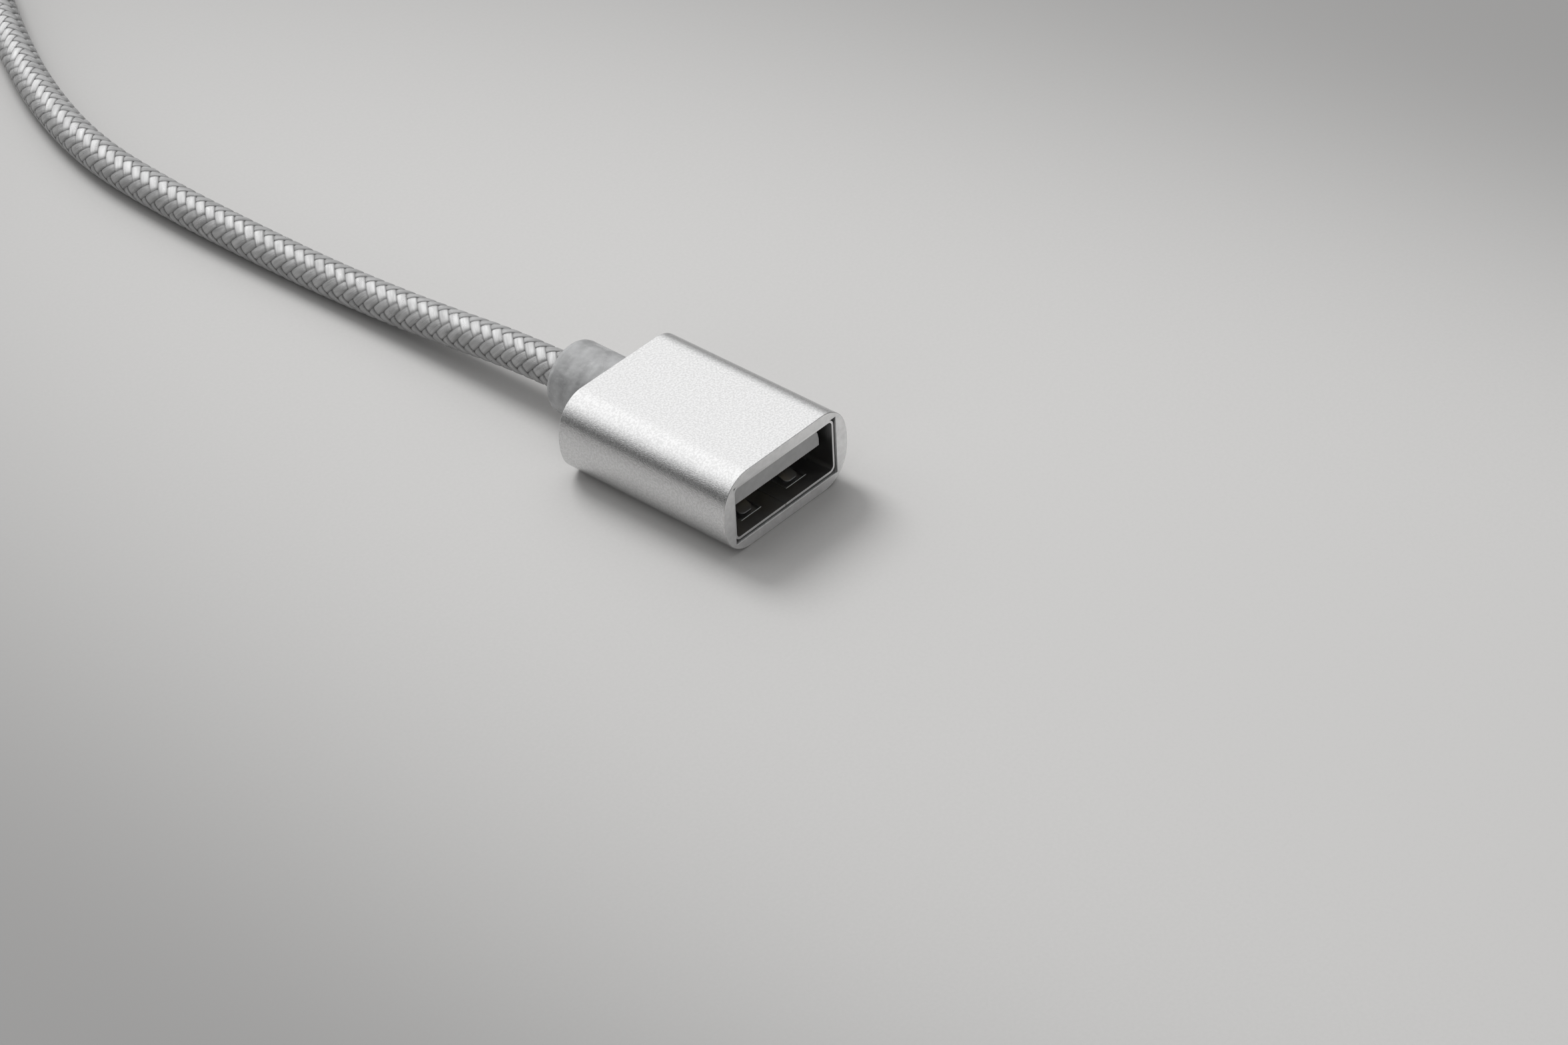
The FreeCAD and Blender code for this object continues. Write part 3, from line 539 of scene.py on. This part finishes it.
def grey(value, warm=0.0):
    """A grey of that brightness, a little warmer or cooler."""
    return (value * (1 + warm), value, value * (1 - warm))


def blasted_aluminium():
    """The sleeves: a bright fine grain, in height and in tone."""
    finish = Finish("blasted_aluminium", Metallic=1.0)
    grain = finish.group(GRAIN, Size=10000.0, Stretch=(1.0, 0.8, 1.0))
    patches = finish.group(MOTTLE, Size=260.0, Low=0.24, High=0.27)
    speckle = finish.group(MOTTLE, Size=5000.0, Low=-0.7, High=1.7)
    colour = finish.blend(speckle.outputs["Value"], grey(0.61), grey(0.71))
    return finish.feed(
        Base_Color=colour,
        Roughness=patches.outputs["Value"],
        Normal=finish.bump(grain.outputs["Height"], 0.5, 0.00004),
    )


def cut_aluminium():
    """The sleeves' cut ends and holes: paler and duller than the blasted faces."""
    finish = Finish("cut_aluminium", Metallic=1.0)
    grain = finish.group(GRAIN, Size=9000.0)
    patches = finish.group(MOTTLE, Size=700.0, Low=0.46, High=0.56)
    tone = finish.group(MOTTLE, Size=1500.0, Low=0.0, High=1.0)
    colour = finish.blend(tone.outputs["Value"], grey(0.82), grey(0.92))
    return finish.feed(
        Base_Color=colour,
        Roughness=patches.outputs["Value"],
        Normal=finish.bump(grain.outputs["Height"], 0.22, 0.00003),
    )


def plated_steel(name, low, high):
    """Bright sheet steel with fine scuffs. Its lighter copy on the shell's cut rim is a painted
    highlight, and its darker copy on the shell's faces is painted shade.
    """
    finish = Finish(name, Metallic=1.0)
    scuffs = finish.group(SCUFFS, Size=1300.0, Stretch=(1.0, 0.2, 1.0))
    patches = finish.group(MOTTLE, Size=900.0, Low=0.30, High=0.42)
    colour = finish.blend(scuffs.outputs["Mask"], grey(low), grey(high))
    grain = finish.group(GRAIN, Size=12000.0)
    return finish.feed(
        Base_Color=colour,
        Roughness=patches.outputs["Value"],
        Normal=finish.bump(grain.outputs["Height"], 0.12, 0.00001),
    )


def moulded_plastic(name, low, high, size=1500.0, gloss=(0.42, 0.55)):
    """A fine matte moulding whose shade drifts a little."""
    finish = Finish(name)
    tone = finish.group(MOTTLE, Size=size, Low=0.0, High=1.0)
    patches = finish.group(MOTTLE, Size=size * 1.7, Low=gloss[0], High=gloss[1])
    grain = finish.group(GRAIN, Size=14000.0)
    return finish.feed(
        Base_Color=finish.blend(tone.outputs["Value"], low, high),
        Roughness=patches.outputs["Value"],
        Normal=finish.bump(grain.outputs["Height"], 0.1, 0.00001),
    )


def soft_rubber():
    """The collars: matte grey, with a soft uneven sheen: real in their roughness and bumps, and
    painted in the lighter patches of their tone.
    """
    finish = Finish("soft_grey_rubber", Specular_IOR_Level=0.9)
    # Lighter patches of tone at random: a painted sheen
    tone = finish.group(MOTTLE, Size=650.0, Low=-0.15, High=1.0)
    patches = finish.group(MOTTLE, Size=900.0, Low=0.20, High=0.52)
    swell = add_node(
        finish.tree, "ShaderNodeTexNoise", Vector=finish.place, Scale=900.0, Detail=1.5
    )
    grain = finish.group(GRAIN, Size=7000.0)
    broad = finish.bump(swell.outputs[0], 0.9, 0.00016)
    return finish.feed(
        Base_Color=finish.blend(tone.outputs["Value"], grey(0.23, -0.01), grey(0.33, -0.01)),
        Roughness=patches.outputs["Value"],
        Normal=finish.bump(grain.outputs["Height"], 0.3, 0.00002, broad),
    )


def braid_yarn():
    """Silver-grey yarn: filaments run along each strand; its sunk sides are darker, a painted
    shade.

    The filaments that lie across the light shine more, so their tone is lighter with the sheen: a
    painted sheen on the upward faces of the strands that wind left.
    """
    finish = Finish("silver_grey_yarn", Metallic=0.5, Specular_IOR_Level=0.75)
    lines = stretched(finish.tree, finish.uv, (0.45, 26.0, 1.0))
    filaments = add_node(
        finish.tree, "ShaderNodeTexNoise", Vector=lines, Scale=1.0, Detail=2.0, Roughness=0.6
    )
    drawn = stretched(finish.tree, finish.uv, (0.5, 2.0, 1.0))
    tone = add_node(finish.tree, "ShaderNodeTexNoise", Vector=drawn, Scale=1.0, Detail=1.0)
    mixed = add_node(
        finish.tree, "ShaderNodeMath", {"operation": "MULTIPLY_ADD"}, i0=filaments.outputs[0],
        i1=0.9, i2=tone.outputs[0],
    )
    spread = add_node(
        finish.tree, "ShaderNodeMapRange", Value=mixed.outputs[0], From_Min=0.60, From_Max=1.25,
        To_Min=0.0, To_Max=1.0,
    )
    # Painted shade in the crevices: dark grey where the strand dives under and at its sides
    painted_crevice_shade = add_node(finish.tree, "ShaderNodeAttribute", {"attribute_name": "painted_crevice_shade"})
    patches = finish.group(MOTTLE, Size=900.0, Low=0.26, High=0.38)
    # Painted sheen: the tone is lighter on the upward faces of the strands that wind left
    sheen = add_node(finish.tree, "ShaderNodeAttribute", {"attribute_name": "sheen"})
    low = finish.blend(sheen.outputs["Fac"], grey(0.25), grey(0.42))
    high = finish.blend(sheen.outputs["Fac"], grey(0.47), grey(0.72))
    yarn = finish.blend(spread.outputs[0], low, high)
    return finish.feed(
        Base_Color=finish.blend(painted_crevice_shade.outputs["Fac"], yarn, grey(0.09)),
        Roughness=patches.outputs["Value"],
        Normal=finish.bump(filaments.outputs[0], 0.9, 0.00004),
    )


def gold_plate():
    """Contacts: a smooth plating whose tone drifts a little."""
    finish = Finish("gold_plate", Metallic=1.0)
    patches = finish.group(MOTTLE, Size=1200.0, Low=0.18, High=0.32)
    tone = finish.group(MOTTLE, Size=2500.0, Low=0.0, High=1.0)
    return finish.feed(
        Base_Color=finish.blend(tone.outputs["Value"], (0.70, 0.58, 0.36), (0.78, 0.66, 0.44)),
        Roughness=patches.outputs["Value"],
    )


ALUMINIUM, CUT_FACE = blasted_aluminium(), cut_aluminium()
# The rim's steel is lighter: a painted highlight on the cut edge. The shell's darker steel is
# painted shade inside the mouth.
STEEL, HIGHLIGHT_RIM = plated_steel("plated_steel", 0.60, 0.85), plated_steel("painted_highlight_rim", 0.86, 0.92)
SHADED_STEEL = plated_steel("painted_shade_steel", 0.40, 0.66)
RUBBER, YARN, GOLD = soft_rubber(), braid_yarn(), gold_plate()
TONGUE = moulded_plastic("tongue_grey", grey(0.50), grey(0.56))
BLACK = moulded_plastic("plug_core_black", grey(0.012), grey(0.02))
MOULD = moulded_plastic("inner_mould_grey", grey(0.24), grey(0.3))
JACKET = moulded_plastic("jacket_under_the_braid", grey(0.05), grey(0.08))
BOARD = moulded_plastic(
    "board_lacquer", (0.01, 0.09, 0.03), (0.015, 0.12, 0.04), 2500.0, (0.2, 0.3)
)
WIRES = {
    "power": moulded_plastic("red_insulation", (0.34, 0.01, 0.01), (0.42, 0.015, 0.015)),
    "data_minus": moulded_plastic("white_insulation", grey(0.62), grey(0.72)),
    "data_plus": moulded_plastic("green_insulation", (0.01, 0.18, 0.03), (0.015, 0.24, 0.04)),
    "ground": moulded_plastic("black_insulation", grey(0.012), grey(0.02)),
}


# Socket end

def make_window_lips():
    """The raised lip that the punch left along the front edge of each window in the shell's floor.

    Each lip is a half round.
    """
    angles = np.linspace(0, math.pi, LIP_STEPS)
    section = np.stack(
        [LIP_DEPTH + LIP_RADIUS * np.cos(angles), LIP_HEIGHT + LIP_RADIUS * np.sin(angles)], -1
    )
    first_cap = np.arange(LIP_STEPS)
    runs = []
    for middle in LIP_MIDDLES:
        across = middle + LIP_HALF_LENGTH * np.array([-1.0, 1.0])
        rings = np.stack(
            [np.concatenate([np.full((LIP_STEPS, 1), place), section], -1) for place in across]
        )
        points = placed(rings, "socket").reshape(-1, 3)
        runs.append((points, grid_quads(2, LIP_STEPS), [first_cap[::-1], LIP_STEPS + first_cap]))
    return joined_runs("window_lips", runs, [STEEL])


def make_socket_end():
    """The blasted sleeve, the folded shell, the tongue and the soft collar."""
    sleeve = walled_tube(
        "aluminium_sleeve", "socket", *bowed_outline(*SOCKET_SLEEVE), 0.0, SOCKET_SLEEVE_LENGTH,
        SLEEVE_EASE, HOLE_EASE, [ALUMINIUM, CUT_FACE],
    )
    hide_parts("socket_sleeve")
    ride(sleeve)
    # The shell takes the darker steel, painted shade, and its cut rim the lighter, a painted
    # highlight.
    shell = eased_copy("socket_shell", "folded_steel_box", 0.04, [SHADED_STEEL, HIGHLIGHT_RIM], RIM_Y)
    ride(shell)
    ride(make_window_lips())
    tongue = eased_copy("socket_insulator", "socket_tongue", 0.05, [TONGUE])
    ride(tongue)
    block = capped_run("socket", box_outline(13.09, 5.86, 0.2), 16.8, 19.19, 0.05, 0.05)
    boot = capped_run("socket", round_outline(3.5), 19.0, 25.2, 0.05, 0.6)
    collar = joined_runs("soft_collar", [block, boot], [RUBBER])
    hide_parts("socket_strain_relief")
    ride(collar)


# Plug end

def make_plug_end():
    """The matching sleeve, the oval steel shell, the black insulator and the small collar."""
    sleeve = walled_tube(
        "plug_aluminium_sleeve", "plug", *bowed_outline(*PLUG_SLEEVE), *PLUG_SLEEVE_ENDS,
        SLEEVE_EASE, HOLE_EASE, [ALUMINIUM, CUT_FACE],
    )
    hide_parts("plug_sleeve")
    ride(sleeve)
    shell = walled_tube(
        "oval_steel_shell", "plug", oval_outline(8.25, 2.4), oval_outline(7.75, 1.9),
        17.5, 30.65, 0.12, 0.08, [STEEL],
    )
    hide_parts("plug_shell")
    ride(shell)
    core = eased_copy("plug_insulator", "plug_core", 0.03, [BLACK])
    ride(core)
    block = capped_run("plug", box_outline(9.29, 4.54, 0.2), 5.01, 8.0, 0.05, 0.05)
    boot = capped_run("plug", round_outline(2.8), 0.0, 5.2, 0.5, 0.05)
    collar = joined_runs("plug_soft_collar", [block, boot], [RUBBER])
    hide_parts("plug_strain_relief")
    ride(collar)
    return [sleeve, shell, core, collar]


# Cable

def route_curve(name, radius=None):
    """The route as a smooth spline through its control points, plain or as a round tube."""
    curve = bpy.data.curves.new(name, "CURVE")
    curve.dimensions = "3D"
    curve.resolution_u = 24
    spline = curve.splines.new("NURBS")
    spline.points.add(len(ROUTE) - 1)
    for point, place in zip(spline.points, ROUTE):
        point.co = (place[0] * MM, place[1] * MM, place[2] * MM, 1.0)
    spline.order_u = 3
    spline.use_endpoint_u = True
    if radius is not None:
        curve.bevel_depth = radius * MM
        curve.bevel_resolution = 8
        curve.use_fill_caps = True
    piece = bpy.data.objects.new(name, curve)
    bpy.context.scene.collection.objects.link(piece)
    return piece


def route_line():
    """The spline's own points in millimetres, and how far along it each one lies."""
    plain = route_curve("plain_route")
    bpy.context.view_layer.update()
    mesh = bpy.data.meshes.new_from_object(plain)
    line = np.empty(len(mesh.vertices) * 3)
    mesh.vertices.foreach_get("co", line)
    line = line.reshape(-1, 3) * 1000
    bpy.data.objects.remove(plain)
    bpy.data.meshes.remove(mesh)
    steps = np.linalg.norm(np.diff(line, axis=0), axis=1)
    keep = np.concatenate([[True], steps > 1e-6])
    line = line[keep]
    along = np.concatenate([[0.0], np.cumsum(np.linalg.norm(np.diff(line, axis=0), axis=1))])
    return line, along


def unit(vectors):
    """Vectors of length one."""
    return vectors / np.linalg.norm(vectors, axis=-1, keepdims=True)


def flat_section(around=12):
    """A strand's section: across and up for each point, and how near it lies to the two sides.

    It is a squarish flat pad that hugs the round of the cable: half the width times a power of
    |cos| by half the thickness times the same power of |sin|, less a crown that falls away.
    """
    angles = np.arange(around) * 2 * math.pi / around
    cosine, sine = np.cos(angles), np.sin(angles)
    across = STRAND_WIDTH / 2 * np.sign(cosine) * np.abs(cosine) ** SECTION_POWER
    lift = STRAND_THICKNESS / 2 * np.sign(sine) * np.abs(sine) ** SECTION_POWER
    return across, lift - STRAND_CROWN * across**2, np.abs(cosine) ** 6


def strand_surface(line, along, turn, first, samples):
    """One strand of the braid, as rings of points with the places that its pattern reads.

    Its middle runs at the angle turn * 2 pi * s / lay + first about the cable, at the mean radius
    less turn times the wave: sin(4 angle) sharpened so that it stays out or in over one column
    and changes over quickly. The crevice shade is one where the strand dives under the others and
    at its two sides: painted shade. The sheen rises from nought to one with the height of the
    outward direction, on the strands that wind left: a painted sheen.
    """
    s = np.linspace(0, along[-1], samples)
    middle = np.stack([np.interp(s, along, line[:, axis]) for axis in range(3)], -1)
    forward = unit(np.gradient(middle, s, axis=0))
    sideways = unit(np.cross(forward, [0.0, 0.0, 1.0]))
    upward = np.cross(sideways, forward)
    angle = turn * 2 * math.pi * s / LAY + first
    swing = np.sin(4 * angle)
    wave = swing / np.sqrt(swing**2 + WAVE_SOFTNESS) * math.sqrt(1 + WAVE_SOFTNESS)
    radius = BRAID_RADIUS - turn * BRAID_WAVE * wave
    outward = np.cos(angle)[:, None] * sideways + np.sin(angle)[:, None] * upward
    centre = middle + radius[:, None] * outward
    run = unit(np.gradient(centre, s, axis=0))
    width = unit(np.cross(run, outward))
    rise = np.cross(width, run)
    across, lift, sides = flat_section()
    rings = (
        centre[:, None]
        + across[None, :, None] * width[:, None]
        + lift[None, :, None] * rise[:, None]
    )
    uv = np.stack(np.broadcast_arrays(s[:, None] * 1.5, across[None, :]), -1)
    # Painted shade where the strand dives under the others and at its two sides
    diving = np.clip(0.5 + turn * wave, 0, 1)[:, None]
    painted_crevice_shade = 1 - (1 - diving) * (1 - sides[None, :])
    # A painted sheen: lighter tone where the strands that wind left face up
    rising = np.clip((outward[:, 2] - 0.35) / 0.5, 0, 1)
    sheen = np.broadcast_to((rising if turn < 0 else 0.0 * rising)[:, None], painted_crevice_shade.shape)
    return rings, uv, painted_crevice_shade, sheen


def make_braid(name, line, along, turn):
    """All strands that wind one way, each a closed run of rings with a cap at both ends."""
    samples = int(round(along[-1] / LAY * SAMPLES_PER_LAY))
    points, uvs, quads, caps, shift = [], [], [], [], 0
    shades = {"painted_crevice_shade": [], "sheen": []}
    first_angle = math.pi / 8 if turn > 0 else 0.0
    for strand in range(STRANDS):
        first = first_angle + strand * 2 * math.pi / STRANDS
        rings, uv, painted_crevice_shade, sheen = strand_surface(line, along, turn, first, samples)
        rows, columns = rings.shape[:2]
        points.append(rings.reshape(-1, 3) * MM)
        shades["painted_crevice_shade"].append(painted_crevice_shade.reshape(-1))
        shades["sheen"].append(sheen.reshape(-1))
        uvs.append(uv.reshape(-1, 2) + [strand * 37.0 + (11.0 if turn > 0 else 0.0), 0.0])
        quads.append(grid_quads(rows, columns) + shift)
        caps += [
            shift + np.arange(columns)[::-1],
            shift + (rows - 1) * columns + np.arange(columns),
        ]
        shift += rows * columns
    piece = mesh_object(
        name, np.concatenate(points), np.concatenate(quads), caps,
        uv=np.concatenate(uvs), materials=[YARN],
    )
    for label, parts in shades.items():
        shade = piece.data.attributes.new(label, "FLOAT", "POINT")
        shade.data.foreach_set("value", np.concatenate(parts).astype(np.float32))
    return piece


def make_cable(plug_pieces):
    """The dark jacket along the route and the two sets of strands over it."""
    jacket = route_curve("cable_jacket", CORE_RADIUS)
    jacket.data.materials.append(JACKET)
    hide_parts("cable")
    ride(jacket)
    line, along = route_line()
    strands = [
        make_braid("strands_wound_right", line, along, 1),
        make_braid("strands_wound_left", line, along, -1),
    ]
    for piece in strands:
        ride(piece)


# Finishes of the pieces that stay as they are

def dress_nodes():
    """Each remaining node gets the finish of its kind."""
    kinds = [
        ("contact", GOLD), ("latch", STEEL), ("spring", STEEL), ("board", BOARD),
        ("resistor", BLACK), ("mould", MOULD),
    ]
    for name, node in nodes.items():
        finish = next((finish for word, finish in kinds if word in name), None)
        for word, insulation in WIRES.items():
            if name.endswith("wire_" + word):
                finish = insulation
        if finish is None:
            continue
        node.data.materials.clear()
        node.data.materials.append(finish)


# Table, light and camera

def make_table():
    """A pale table top whose colour holds a painted pool of light: brightest round the cable and
    greyer towards both sides.

    Its sides are darker still in reflections than to the camera, a painted shade, as in a studio
    with dark flags.
    """
    size = 0.9
    corners = [(-size, -size, 0.0), (size, -size, 0.0), (size, size, 0.0), (-size, size, 0.0)]
    mesh = bpy.data.meshes.new("table_top")
    mesh.from_pydata(corners, [], [(0, 1, 2, 3)])
    table = bpy.data.objects.new("table_top", mesh)
    bpy.context.scene.collection.objects.link(table)
    finish = Finish("pale_table", Roughness=0.6, Specular_IOR_Level=0.2)
    # The colour falls off away from a point near the cable: a painted pool of light
    moved = add_node(
        finish.tree, "ShaderNodeVectorMath", {"operation": "SUBTRACT"}, i0=finish.place,
        i1=(0.0156, -0.1084, 0.0),
    )
    squared = 0.0
    for row in ((13.26, 0.0, 0.0), (2.27, 4.41, 0.0)):
        part = add_node(
            finish.tree, "ShaderNodeVectorMath", {"operation": "DOT_PRODUCT"}, i0=moved.outputs[0],
            i1=row,
        ).outputs["Value"]
        squared = add_node(
            finish.tree, "ShaderNodeMath", {"operation": "MULTIPLY_ADD"}, i0=part, i1=part,
            i2=squared,
        ).outputs[0]
    steep = add_node(
        finish.tree, "ShaderNodeMath", {"operation": "POWER"}, i0=squared, i1=2.25
    )
    eased = add_node(
        finish.tree, "ShaderNodeMath", {"operation": "MULTIPLY"}, i0=steep.outputs[0], i1=-1.0
    )
    painted_light_pool = add_node(
        finish.tree, "ShaderNodeMath", {"operation": "EXPONENT"}, i0=eased.outputs[0]
    )
    speckle = finish.group(MOTTLE, Size=3000.0, Low=0.97, High=1.03)
    light_pool_and_speckle = add_node(
        finish.tree, "ShaderNodeMath", {"operation": "MULTIPLY"}, i0=painted_light_pool.outputs[0],
        i1=speckle.outputs["Value"],
    )
    seen = finish.tree.nodes.new("ShaderNodeLightPath").outputs["Is Camera Ray"]
    # The sides are darker in reflections than to the camera: painted shade
    sides = finish.blend(seen, (0.14, 0.1387, 0.1374), (0.26, 0.2574, 0.2548))
    finish.feed(Base_Color=finish.blend(light_pool_and_speckle.outputs[0], sides, (0.500, 0.495, 0.489)))
    mesh.materials.append(finish.material)


def standing(side, top, back, location):
    """A placing matrix from its three axes and its place."""
    columns = np.stack([side, top, back], -1)
    matrix = Matrix([list(row) + [0.0] for row in columns] + [[0.0, 0.0, 0.0, 1.0]])
    matrix.translation = location
    return matrix


def aimed_at_origin(location):
    """A placing matrix whose minus Z points from the location to the origin."""
    back = unit(np.array(location))
    side = unit(np.cross([0.0, 0.0, 1.0], back))
    return standing(side, np.cross(back, side), back, location)


def make_light():
    """A broad soft sky that leans towards the cable's end of the table, one soft lamp there, and
    two weak low fills.

    The sky's brightness follows the cosine between a direction and the leaning axis, plus a faint
    glow on the mouth's side. The lamp lights and casts the soft shadows; polished surfaces reflect
    the sky, the table and the front fill, not the lamp or the side fill.
    """
    world = bpy.data.worlds.new("studio")
    bpy.context.scene.world = world
    world.use_nodes = True
    tree = world.node_tree
    background = tree.nodes["Background"]
    direction = tree.nodes.new("ShaderNodeTexCoord").outputs["Generated"]
    lean = add_node(
        tree, "ShaderNodeVectorMath", {"operation": "DOT_PRODUCT"}, i0=direction,
        i1=(0.15, 0.61, 0.777),
    )
    ramp = tree.nodes.new("ShaderNodeValToRGB")
    ramp.color_ramp.interpolation = "EASE"
    low, high = ramp.color_ramp.elements
    low.position, low.color = 0.34, (0.03, 0.03, 0.03, 1.0)
    high.position, high.color = 0.96, (1.0, 1.0, 1.0, 1.0)
    tree.links.new(lean.outputs["Value"], ramp.inputs[0])
    front = add_node(
        tree, "ShaderNodeVectorMath", {"operation": "DOT_PRODUCT"}, i0=direction,
        i1=(-0.45, -0.78, 0.44),
    )
    glow = add_node(
        tree, "ShaderNodeMapRange", {"interpolation_type": "SMOOTHSTEP"},
        Value=front.outputs["Value"], From_Min=-0.1, From_Max=0.9, To_Min=0.0, To_Max=0.12,
    )
    total = add_node(
        tree, "ShaderNodeVectorMath", {"operation": "ADD"}, i0=ramp.outputs[0],
        i1=glow.outputs[0],
    )
    tree.links.new(total.outputs[0], background.inputs["Color"])
    background.inputs["Strength"].default_value = 1.38
    for name, size, energy, location, polished in (
        ("soft_lamp", 0.28, 2.6, (0.108, 0.402, 0.432), False),
        ("front_fill", 0.5, 0.3, (0.30, -0.62, 0.22), True),
        ("side_fill", 0.4, 0.5, (-0.5, -0.05, 0.09), False),
    ):
        lamp = bpy.data.lights.new(name, "AREA")
        lamp.shape = "DISK"
        lamp.size = size
        lamp.energy = energy
        light = bpy.data.objects.new(name, lamp)
        light.matrix_world = aimed_at_origin(location)
        light.visible_glossy = polished
        bpy.context.scene.collection.objects.link(light)


def make_camera():
    """The photograph's view: 398 mm from the mouth, turned 47.2 degrees, 37.4 degrees up."""
    turn, tilt, roll = math.radians(-47.168), math.radians(37.403), math.radians(-2.818)
    right = np.array([math.cos(turn), math.sin(turn), 0.0])
    back = np.array(
        [math.sin(turn) * math.cos(tilt), -math.cos(turn) * math.cos(tilt), math.sin(tilt)]
    )
    up = np.cross(back, right)
    right, up = (
        math.cos(roll) * right + math.sin(roll) * up,
        -math.sin(roll) * right + math.cos(roll) * up,
    )
    camera = bpy.data.cameras.new("camera")
    camera.sensor_fit = "HORIZONTAL"
    camera.sensor_width = 36.0
    camera.lens = 107.10
    camera.clip_start = 0.01
    camera.clip_end = 10.0
    camera.dof.use_dof = False
    seen = bpy.data.objects.new("camera", camera)
    seen.matrix_world = standing(right, up, back, (-0.23377, -0.22879, 0.24298))
    bpy.context.scene.collection.objects.link(seen)
    bpy.context.scene.camera = seen


make_socket_end()
make_cable(make_plug_end())
dress_nodes()
make_table()
make_light()
make_camera()
bpy.context.scene.view_settings.view_transform = "Standard"
